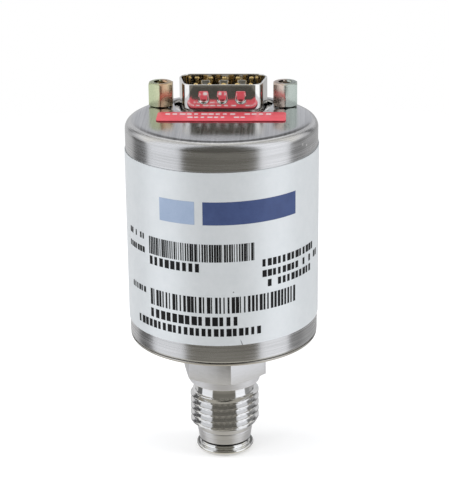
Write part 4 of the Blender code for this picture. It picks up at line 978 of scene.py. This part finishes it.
def bars(left, bottom, right, top, pitch, seed):
    return row_of(left, bottom, right, top - bottom, pitch, seed, 0.25, 0.95)


def dashes(left, bottom, right, height, pitch, seed, share=0.9, **more):
    """Sizes for one row of short dashes. share of them are printed."""
    return row_of(left, bottom, right, height, pitch, seed, 0.5, 0.85, share_printed=share, **more)


def print_piece(name, finish, layout):
    """All marks of one ink as one piece."""
    piece = joined(name, [grown("marks", PRINT, finish, **sizes) for sizes in layout])
    return hand_over(piece, name, [finish])


# %% The three inks on the label
print_piece("print_black", BLACK_INK, [
    bars(-15.3, 48.1, 7.5, 51.7, 0.48, 3),
    bars(-15.2, 37.55, 16.8, 40.9, 0.80, 5),
    dashes(-15.2, 45.95, -3.3, 1.75, 1.32, 11, 1.0),
    dashes(-15.2, 34.95, 4.6, 1.85, 1.38, 17, 1.0),
    dashes(-19.4, 32.75, 9.0, 1.6, 1.22, 23),
    dashes(8.6, 46.45, 24.0, 1.5, 1.15, 29, 0.85),
    dashes(8.6, 44.3, 26.5, 1.4, 1.15, 31, 0.75),
    dashes(8.6, 42.2, 22.4, 1.45, 1.15, 37, 0.85),
    dashes(-22.8, 50.6, -16.5, 1.2, 0.9, 41),
    dashes(-22.9, 47.8, -16.4, 1.2, 0.9, 43),
    dashes(-22.8, 39.5, -16.2, 1.2, 0.9, 47)])
print_piece("print_navy", NAVY_INK, [block(-3.0, 55.6, 16.6, 60.2)])
print_piece("print_blue_grey", PALE_INK, [block(-12.2, 55.6, -4.6, 60.2)])

# %% [markdown]
# ## The red strip
#
# A red film with round corners lies on the can in front of the connector, and two rows of pale dashes
# are printed on it. It could be a thin box, but drawing up an outline gives the corners their radius,
# and its eased top edge catches a thin line of light.

# %% The strip and its dashes
STRIP_SIZE = (25.4, 6.2)
STRIP_FRONT = -3.45
STRIP_BOTTOM = 71.54
STRIP_THICKNESS = 0.2
STRIP_CORNER = 0.9


def rounded_rectangle(length, width, corner):
    outline = []
    for quarter, (across, along) in enumerate(((1, 1), (-1, 1), (-1, -1), (1, -1))):
        centre = (across * (length / 2 - corner), along * (width / 2 - corner))
        outline += arc(centre, corner, 90.0 * quarter, 90.0 * quarter + 90.0, 8)
    return outline


def make_strip():
    outline = rounded_rectangle(*STRIP_SIZE, STRIP_CORNER)
    middle = STRIP_FRONT + STRIP_SIZE[1] / 2
    placed = [(x, y + middle) for x, y in outline]
    strip = extruded("strip", placed, STRIP_BOTTOM, STRIP_BOTTOM + STRIP_THICKNESS)
    soften(strip, 0.05, 60.0)
    return hand_over(strip, "red_strip", [RED_FILM], stands_for=["strip_label"])


make_strip()
STRIP_PRINT = STRIP_BOTTOM + STRIP_THICKNESS + 0.015
print_piece("print_white", WHITE_INK, [
    dashes(-11.1, 0.7, 10.4, 0.85, 1.42, 53, 0.94, bend=0.0, level=STRIP_PRINT),
    dashes(-6.6, -1.6, 5.8, 0.85, 1.30, 59, 0.92, bend=0.0, level=STRIP_PRINT)])

# %% [markdown]
# ## The connector's shell
#
# The shell is drawn and pressed from tin-plated sheet. Its wall stands on the flange in a small fillet,
# and three dimples are pressed into its front and back, so that a plug's shell grips it. A Boolean could
# cut the dimples, but in sheet metal both faces move together. So the wall is a fine grid round the D,
# and each point moves inwards by a rule: a U-shaped pit that deepens away from the rim.

# %% Points round the D
FLANGE_BOTTOM = 69.89
FLANGE_TOP = 70.59
FLANGE_REACH = 17.9
FLANGE_SIZE = (30.81, 12.55)
FLANGE_CORNER = 1.5
RIM_TOP = 76.83
RIM_EASE = 0.16
SHELL_FILLET = 0.7
SHELL_FOOT = FLANGE_BOTTOM + 0.2
SHELL_POINTS = 360
SHELL_ROWS = (46, 50)


def even_outline(outline, count):
    """Points spaced evenly round a closed outline, each with its outward direction."""
    closed = outline + outline[:1]
    lengths = [0.0]
    for first, second in zip(closed, closed[1:]):
        lengths.append(lengths[-1] + math.dist(first, second))
    points = []
    piece = 0
    for index in range(count):
        target = lengths[-1] * index / count
        while lengths[piece + 1] < target:
            piece += 1
        share = (target - lengths[piece]) / (lengths[piece + 1] - lengths[piece])
        first, second = closed[piece], closed[piece + 1]
        points.append((first[0] + (second[0] - first[0]) * share, first[1] + (second[1] - first[1]) * share))
    directions = []
    for index in range(count):
        before, after = points[index - 1], points[(index + 1) % count]
        length = math.dist(before, after)
        directions.append(((after[1] - before[1]) / length, (before[0] - after[0]) / length))
    return points, directions


# %% The pressed dimples
DIMPLE_PITCH = 3.7
DIMPLE_HALF = 1.0
DIMPLE_TOP = 75.55
DIMPLE_LOW = 73.95
DIMPLE_FLOOR = 73.1
DIMPLE_DEPTH = 0.65
DIMPLE_EDGE = 0.25


def eased(value):
    value = min(max(value, 0.0), 1.0)
    return value * value * (3.0 - 2.0 * value)


def dimple_depth(x, height):
    """How far the wall is pressed in at a place on the front or back of the shell."""
    deepest = 0.0
    for number in (-1, 0, 1):
        aside = x - number * DIMPLE_PITCH
        below = min(height - DIMPLE_LOW, 0.0)
        edge = DIMPLE_HALF - math.hypot(aside, below)
        slope = min(max((DIMPLE_TOP - height) / (DIMPLE_TOP - DIMPLE_FLOOR), 0.0), 1.0)
        deepest = max(deepest, DIMPLE_DEPTH * eased(edge / DIMPLE_EDGE) * slope)
    return deepest


# %% The wall, and the flange that it stands on
def make_shell_wall():
    points, directions = even_outline(d_outline(D_OPENING, D_CORNER, 0.0, 24), SHELL_POINTS)
    rows_outside, rows_inside = SHELL_ROWS
    outside = [(D_WALL - RIM_EASE, RIM_TOP), (D_WALL - 0.05, RIM_TOP - 0.05), (D_WALL, RIM_TOP - RIM_EASE)]
    fillet_top = FLANGE_TOP + SHELL_FILLET
    outside += [(D_WALL, RIM_TOP - RIM_EASE - (RIM_TOP - RIM_EASE - fillet_top) * index / rows_outside)
                for index in range(1, rows_outside)]
    outside += [(D_WALL + SHELL_FILLET - out, height) for out, height in
                arc((0.0, fillet_top), SHELL_FILLET, 0.0, -90.0, 8)]
    outside += [(D_WALL + SHELL_FILLET, SHELL_FOOT), (0.0, SHELL_FOOT)]
    inside = [(0.0, SHELL_FOOT + (RIM_TOP - 0.1 - SHELL_FOOT) * index / rows_inside)
              for index in range(1, rows_inside + 1)]
    inside += [(0.03, RIM_TOP - 0.02), (0.1, RIM_TOP)]
    shape = bmesh.new()
    rings = []
    for offset, height in outside + inside:
        ring = []
        for (x, y), (out_x, out_y) in zip(points, directions):
            pressed = dimple_depth(x, height) if abs(out_y) > 0.999 else 0.0
            reach = offset - pressed
            ring.append(shape.verts.new((x + out_x * reach, y + out_y * reach + CONNECTOR_BEHIND, height)))
        rings.append(ring)
    bridge(shape, rings + rings[:1])
    return finished("shell_wall", shape)


def make_flange():
    outline = behind(rounded_rectangle(*FLANGE_SIZE, FLANGE_CORNER))
    flange = extruded("flange", outline, FLANGE_BOTTOM, FLANGE_TOP)
    low, high = FLANGE_BOTTOM - OVERCUT, FLANGE_TOP + OVERCUT
    cut(flange, rod("trim", FLANGE_REACH, low, high, 128), 'INTERSECT')
    cut(flange, extruded("window", behind(d_outline(D_OPENING, D_CORNER, D_WALL / 2)), low, high))
    stud_holes(flange, low, high)
    return flange


shell = joined("shell", [make_shell_wall(), make_flange()])
hand_over(shell, "pressed_shell", [TIN_PLATE], stands_for=["connector_shell"], sharp=50.0)

# %% [markdown]
# ## Contacts and insulator
#
# Nine gold-plated pins stand in a moulded block, five behind and four in front. The pins are all alike,
# so one pin is turned and a tree places it nine times from its index: a point's row and column follow
# from its number. The block keeps its CAD shape, because its moulded plastic only needs its finish.

# %% One pin and the tree that places it
PIN_PITCH = 2.77
PIN_ROW_GAP = 2.84
PIN_RADIUS = 0.5
PIN_TIP = 75.68
PIN_NOSE = 0.45
PIN_SHOULDER = 66.19
PIN_TAIL_RADIUS = 0.4


def contact_form():
    low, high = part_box("pin_1")
    profile = [(0.0, PIN_TIP)]
    for angle in (20.0, 40.0, 60.0, 75.0, 90.0):
        turn = math.radians(angle)
        profile.append((PIN_RADIUS * math.sin(turn), PIN_TIP - PIN_NOSE * (1.0 - math.cos(turn))))
    profile += [(PIN_RADIUS, PIN_SHOULDER), (PIN_TAIL_RADIUS, PIN_SHOULDER), (PIN_TAIL_RADIUS, low.z / MM),
                (0.0, low.z / MM)]
    return turned("contact_form", profile, 32)


def contact_tree(form):
    tree, named = new_tree("contacts", {"Pins behind": 5, "Pitch": PIN_PITCH, "Row gap": PIN_ROW_GAP,
                                        "Centre": CONNECTOR_BEHIND})
    points = add_node(tree, "GeometryNodePoints", Count=named["Pins behind"] * 2 - 1).outputs["Points"]
    index = Value(tree, tree.nodes.new("GeometryNodeInputIndex").outputs["Index"])
    front = maths(tree, 'GREATER_THAN', index, named["Pins behind"] - 0.5)
    column = index - front * named["Pins behind"]
    last = named["Pins behind"] - 1 - front
    x = (column - last * 0.5) * named["Pitch"]
    y = (0.5 - front) * named["Row gap"] + named["Centre"]
    one = add_node(tree, "GeometryNodeObjectInfo", Object=form)
    pins = add_node(tree, "GeometryNodeInstanceOnPoints", Points=moved(tree, points, vector(tree, x, y)),
                    Instance=one.outputs["Geometry"])
    return close_tree(tree, pins.outputs["Instances"], named)


# %% The nine pins
form = contact_form()
contacts = grown("contacts", contact_tree(form), GOLD_PLATE)
bpy.data.objects.remove(form)
contacts.data.materials.clear()
hand_over(contacts, "contact_pins", [GOLD_PLATE], sharp=40.0,
          stands_for=["pin_%d" % number for number in range(1, 10)])

# %% [markdown]
# ## The jackscrews
#
# Two hexagonal jackscrews hold the connector and take the screws of a cable plug in their threaded
# holes. Each is a chamfered hexagon on a stud. The same thread tree that cut the nut now grows a tap,
# a rod with a fine thread, and cutting the tap out of the hexagon leaves a real threaded hole.

# %% Sizes of a jackscrew and its tap
JACK_FLATS = 4.76
JACK_BOTTOM = 71.52
JACK_TOP = 76.34
STUD_RADIUS = 1.42
STUD_BOTTOM = 65.89
TAP_CORE = 1.18
TAP_RIDGE = 0.22
TAP_PITCH = 0.635
TAP_DEPTH = 3.8
SINK_TOP = 1.5
SINK_BOTTOM = 1.1
SINK_DEPTH = 0.3


def make_tap(place):
    tap = grown("tap", THREAD, ZINC, core_radius=TAP_CORE, ridge=TAP_RIDGE, root_share=0.16, crest_share=0.16,
                pitch=TAP_PITCH, bottom=JACK_TOP - TAP_DEPTH, length=TAP_DEPTH + 0.8, run_out=0.3,
                steps_round=48, steps_up=96)
    tap.data.transform(Matrix.Translation((*place, 0.0)))
    shape = bmesh.new()
    shape.from_mesh(tap.data)
    bpy.data.objects.remove(tap)
    bmesh.ops.holes_fill(shape, edges=shape.edges)
    return finished("tap", shape)


# %% The jackscrews
def make_jackscrew(side, across):
    place = (across * JACKSCREW_REACH, CONNECTOR_BEHIND)
    head = hexagon("head", JACK_FLATS, JACK_BOTTOM, JACK_TOP, -90.0, place, 96)
    soften(head, 0.07, 24.0)
    cut(head, make_tap(place))
    high, low = JACK_TOP + 0.1, JACK_TOP - SINK_DEPTH
    sink = [(0.0, high), (SINK_TOP, high), (SINK_BOTTOM, low), (0.0, low)]
    cut(head, turned("countersink", sink, 48, place))
    stud = rod("stud", STUD_RADIUS, STUD_BOTTOM, JACK_BOTTOM + 0.3, 48, place)
    return hand_over(joined("screw", [head, stud]), "jack_hex_" + side, [ZINC],
                     stands_for=["jackscrew_" + side], sharp=30.0)


make_jackscrew("left", -1)
make_jackscrew("right", 1)

# %% [markdown]
# ## Pieces that keep their CAD shape
#
# The insulator and everything sealed inside keep their CAD shape. Their CAD colours are flat, so each
# gets the finish of what it is made of. A table by material slot does this for all of them at once.

# %% Finishes for the carried-over pieces
FINISH_OF_SLOT = {
    "brushed_steel": STEEL_INSIDE, "turned_steel": STEEL_INSIDE, "polished_steel": GLAND_POLISHED,
    "tin_plate": TIN_PLATE, "zinc_chromate": ZINC, "gold_plate": GOLD_PLATE, "brass": BRASS,
    "copper": COPPER, "label_film": WRAP_FILM, "red_film": RED_FILM, "black_plastic": BLACK_PLASTIC,
    "blue_plastic": BLUE_PLASTIC, "green_laminate": LAMINATE, "ceramic": CERAMIC, "glass": SEAL_GLASS}

for subpart in frame["record"]["subparts"]:
    node = frame["nodes"][subpart["node"]]
    for slot in node.material_slots:
        slot.material = FINISH_OF_SLOT[subpart["material_slot"]]

# %% [markdown]
# ## Marks of wear and painted light
#
# This switch has been handled: the label has one dark speck, and a dark dot sits on the can's top. The
# crease at the label's lower edge is painted shade, a thin dark line painted into the film where its fold
# lies in shade, and the pale spots under the can's right shoulder are a painted highlight, white painted
# into the steel where a bright reflection line runs. A painted image could carry them, but each is only a
# small ellipsoid in the piece's own coordinates that changes the colour there.

# %% Small spots that change a material's colour
def spot(tree, place, reach, turn):
    """A factor of 1 inside a small turned ellipsoid and 0 outside it."""
    local = add_node(tree, "ShaderNodeMapping", {"vector_type": 'TEXTURE'}, Vector=own_place(tree),
                     Location=tuple(value * MM for value in place),
                     Rotation=tuple(math.radians(value) for value in turn),
                     Scale=tuple(value * MM for value in reach))
    return spread(tree, length_of(tree, local.outputs["Vector"]), 1.0, 0.0, 0.6, 1.0)


def mark(material, colour, spots):
    """Blends a colour into a material inside the spots."""
    tree = material.node_tree
    base = tree.nodes["Principled BSDF"].inputs["Base Color"]
    for place, reach, turn in spots:
        feed(tree, base, blend(tree, spot(tree, place, reach, turn), base.links[0].from_socket, colour))
    print("marks on", material.name, len(spots))


# %% The marks on the label and the can
# The crease is painted shade: a thin dark line painted into the film where its fold lies in shade. The speck
# is a real dark speck, in the same dark colour.
CREASE_SHADE = (on_film(4.32, 31.1), (0.11, 0.5, 1.0), (0.0, -20.0, 13.0))
SPECK = (on_film(2.75, 41.9), (0.17, 0.5, 0.17), (0.0, 0.0, 8.0))
mark(WRAP_FILM, (0.20, 0.21, 0.22), [CREASE_SHADE, SPECK])
# The three pale spots are a painted highlight: white painted into the brushed steel under the right shoulder,
# where a bright reflection line runs.
mark(CAN_SIDE, (1.0, 1.0, 1.0), [
    ((15.95, -10.42, 69.0), (0.26, 0.5, 0.36), (0.0, 12.0, 57.0)),
    ((16.70, -9.17, 68.5), (0.22, 0.5, 0.26), (0.0, 0.0, 61.0)),
    ((17.55, -7.41, 67.4), (0.10, 0.5, 0.70), (0.0, 38.0, 67.0))])
mark(CAN_TOP, (0.03, 0.03, 0.03), [((13.15, -5.5, CAN_TOP_FACE), (0.15, 0.32, 0.3), (0.0, 0.0, 0.0))])

# %% [markdown]
# ## The floor
#
# The switch stands on its sealing bead on a pale floor. The floor shows white to the camera and fades
# into the white world at its edge, but it is an ordinary pale surface that keeps the shadow. Rays that
# come from shiny metal pass through it, because the photographer's reflectors stood all round.

# %% A pale floor that keeps the shadow
FLOOR_RADIUS = 0.30


def floor_material():
    material, tree, shader = new_material("pale_floor")
    path = tree.nodes.new("ShaderNodeLightPath").outputs
    fill(tree, shader, Base_Color=(0.93, 0.93, 0.93, 1.0), Roughness=0.9, Specular_IOR_Level=0.0,
         Emission_Color=(1.0, 1.0, 1.0, 1.0), Emission_Strength=Value(tree, path["Is Camera Ray"]) * 0.2)
    distance = length_of(tree, own_place(tree))
    edge = spread(tree, distance, 0.0, 1.0, 0.35 * FLOOR_RADIUS, 0.9 * FLOOR_RADIUS)
    seen_in_metal = maths(tree, 'MAXIMUM', path["Is Glossy Ray"], path["Is Transmission Ray"])
    clear = tree.nodes.new("ShaderNodeBsdfTransparent")
    mix = add_node(tree, "ShaderNodeMixShader", Fac=maths(tree, 'MAXIMUM', edge, seen_in_metal))
    tree.links.new(shader.outputs["BSDF"], mix.inputs[1])
    tree.links.new(clear.outputs["BSDF"], mix.inputs[2])
    tree.links.new(mix.outputs["Shader"], tree.nodes["Material Output"].inputs["Surface"])
    return material


floor_shape = bmesh.new()
bmesh.ops.create_circle(floor_shape, cap_ends=True, segments=96, radius=FLOOR_RADIUS)
floor = working_object("floor", floor_shape)
floor.location.z = -0.0001
floor.data.materials.append(floor_material())

# %% [markdown]
# ## Light
#
# White surroundings would make polished steel look like paper. The photographer left gaps between
# bright reflectors, and the dark bands on the can are those gaps. The world gives shiny surfaces just
# that: bright and dark sectors round the switch, a bright cloth overhead with a dark gap behind it, and
# the table below. Matt surfaces get a plain level of light, at which a colour looks as it is written,
# and the camera sees white.

# %% Reflectors all round and overhead, as ramps of directions
REFLECTOR = (1.22, 1.24, 1.28)
DARK_FRONT = (0.20, 0.19, 0.165)
TABLE = (0.66, 0.63, 0.55)
SIDE_CLOTH = (0.76, 0.76, 0.77)
SIDE_CLOTH_EDGE = (0.14, 0.26)
BACK_OF_TOP = (0.47, 0.56)
JUST_ABOVE = (0.0, 0.15)
HORIZON = (-0.1, 0.1)
TABLE_EDGE = (-0.75, -0.5)
PLAIN_LIGHT = (0.78, 0.79, 0.81)
LEFT_REFLECTOR = (1.08, 1.10, 1.14)
ROUND_ABOUT = [(-180.0, 0.66), (-130.0, 0.66), (-126.0, 0.16), (-100.0, 0.16), (-97.0, LEFT_REFLECTOR),
               (-51.0, LEFT_REFLECTOR), (-47.0, DARK_FRONT), (42.0, DARK_FRONT), (46.0, REFLECTOR),
               (86.0, REFLECTOR), (89.0, 0.33), (111.0, 0.33), (118.0, 0.48), (180.0, 0.52)]
OVERHEAD = [(0.0, DARK_FRONT), (88.0, DARK_FRONT), (104.0, (1.05, 1.03, 0.95)), (140.0, (1.05, 1.05, 1.05)),
            (147.0, 0.16), (157.0, 0.16), (161.5, (0.62, 0.63, 0.66)), (180.0, (0.68, 0.69, 0.71))]
CLOTH_SEAM = [(0.0, 1.0), (129.0, 1.0), (133.0, 0.12), (141.0, 0.12), (145.0, 1.0), (180.0, 1.0)]


# %% The world that shiny metal sees
def half_turn_ramp(tree, angle, stops):
    """A colour ramp over an angle in half turns, with its stops in degrees."""
    return colour_ramp(tree, angle, [(place / 180.0, level) for place, level in stops])


def studio_world():
    world = bpy.data.worlds.new("studio")
    world.use_nodes = True
    tree = world.node_tree
    x, y, z = parts_of(tree, add_node(tree, "ShaderNodeTexCoord").outputs["Generated"])
    ahead = y * -1.0
    azimuth = maths(tree, 'ARCTAN2', x, ahead)
    place = azimuth * (0.5 / math.pi) + (0.5 - CAMERA_TURN / 360.0)
    around = colour_ramp(tree, place, [(angle / 360.0 + 0.5, level) for angle, level in ROUND_ABOUT])
    rise = maths(tree, 'ARCTAN2', z, ahead) / math.pi
    above = half_turn_ramp(tree, rise, OVERHEAD)
    aside = spread(tree, abs(x), 0.0, 1.0, *SIDE_CLOTH_EDGE)
    above = blend(tree, aside, above, SIDE_CLOTH, 'LIGHTEN')
    seam = half_turn_ramp(tree, abs(azimuth) / math.pi, CLOTH_SEAM)
    above = blend(tree, 1.0, above, seam, 'MULTIPLY')
    behind_top = spread(tree, rise, 0.0, 1.0, *BACK_OF_TOP) * spread(tree, z, 0.0, 1.0, *JUST_ABOVE)
    deeper = blend(tree, 1.0, around, blend(tree, 1.0, around, (1.0, 1.0, 1.0), 'DARKEN'), 'MULTIPLY')
    around = blend(tree, spread(tree, z, 0.0, 0.6, *HORIZON), around, deeper)
    below = spread(tree, z, 1.0, 0.0, *TABLE_EDGE)
    reflectors = blend(tree, below, blend(tree, behind_top, around, above), TABLE)
    path = tree.nodes.new("ShaderNodeLightPath").outputs
    lit = blend(tree, path["Is Glossy Ray"], PLAIN_LIGHT, reflectors)
    seen = maths(tree, 'MAXIMUM', path["Is Camera Ray"], path["Is Transmission Ray"])
    fill(tree, tree.nodes["Background"], Color=blend(tree, seen, lit, (1.0, 1.0, 1.0)), Strength=1.0)
    bpy.context.scene.world = world


# %% Soft lamps for the matt surfaces
def soft_lamp(name, place, size, power):
    """A large lamp that faces the switch and doesn't show in its reflections."""
    data = bpy.data.lights.new(name, 'AREA')
    data.shape = 'DISK'
    data.size = size
    data.energy = power
    lamp = bpy.data.objects.new(name, data)
    bpy.context.scene.collection.objects.link(lamp)
    lamp.location = place
    aim = Vector((0.0, 0.0, 0.04)) - Vector(place)
    lamp.rotation_euler = aim.to_track_quat('-Z', 'Y').to_euler()
    lamp.visible_glossy = False


studio_world()
soft_lamp("key_lamp", (-0.45, -0.55, 0.75), 0.5, 1.7)
soft_lamp("right_lamp", (0.75, -0.10, 0.40), 0.5, 2.4)
soft_lamp("left_lamp", (-0.75, 0.0, 0.40), 0.4, 1.6)
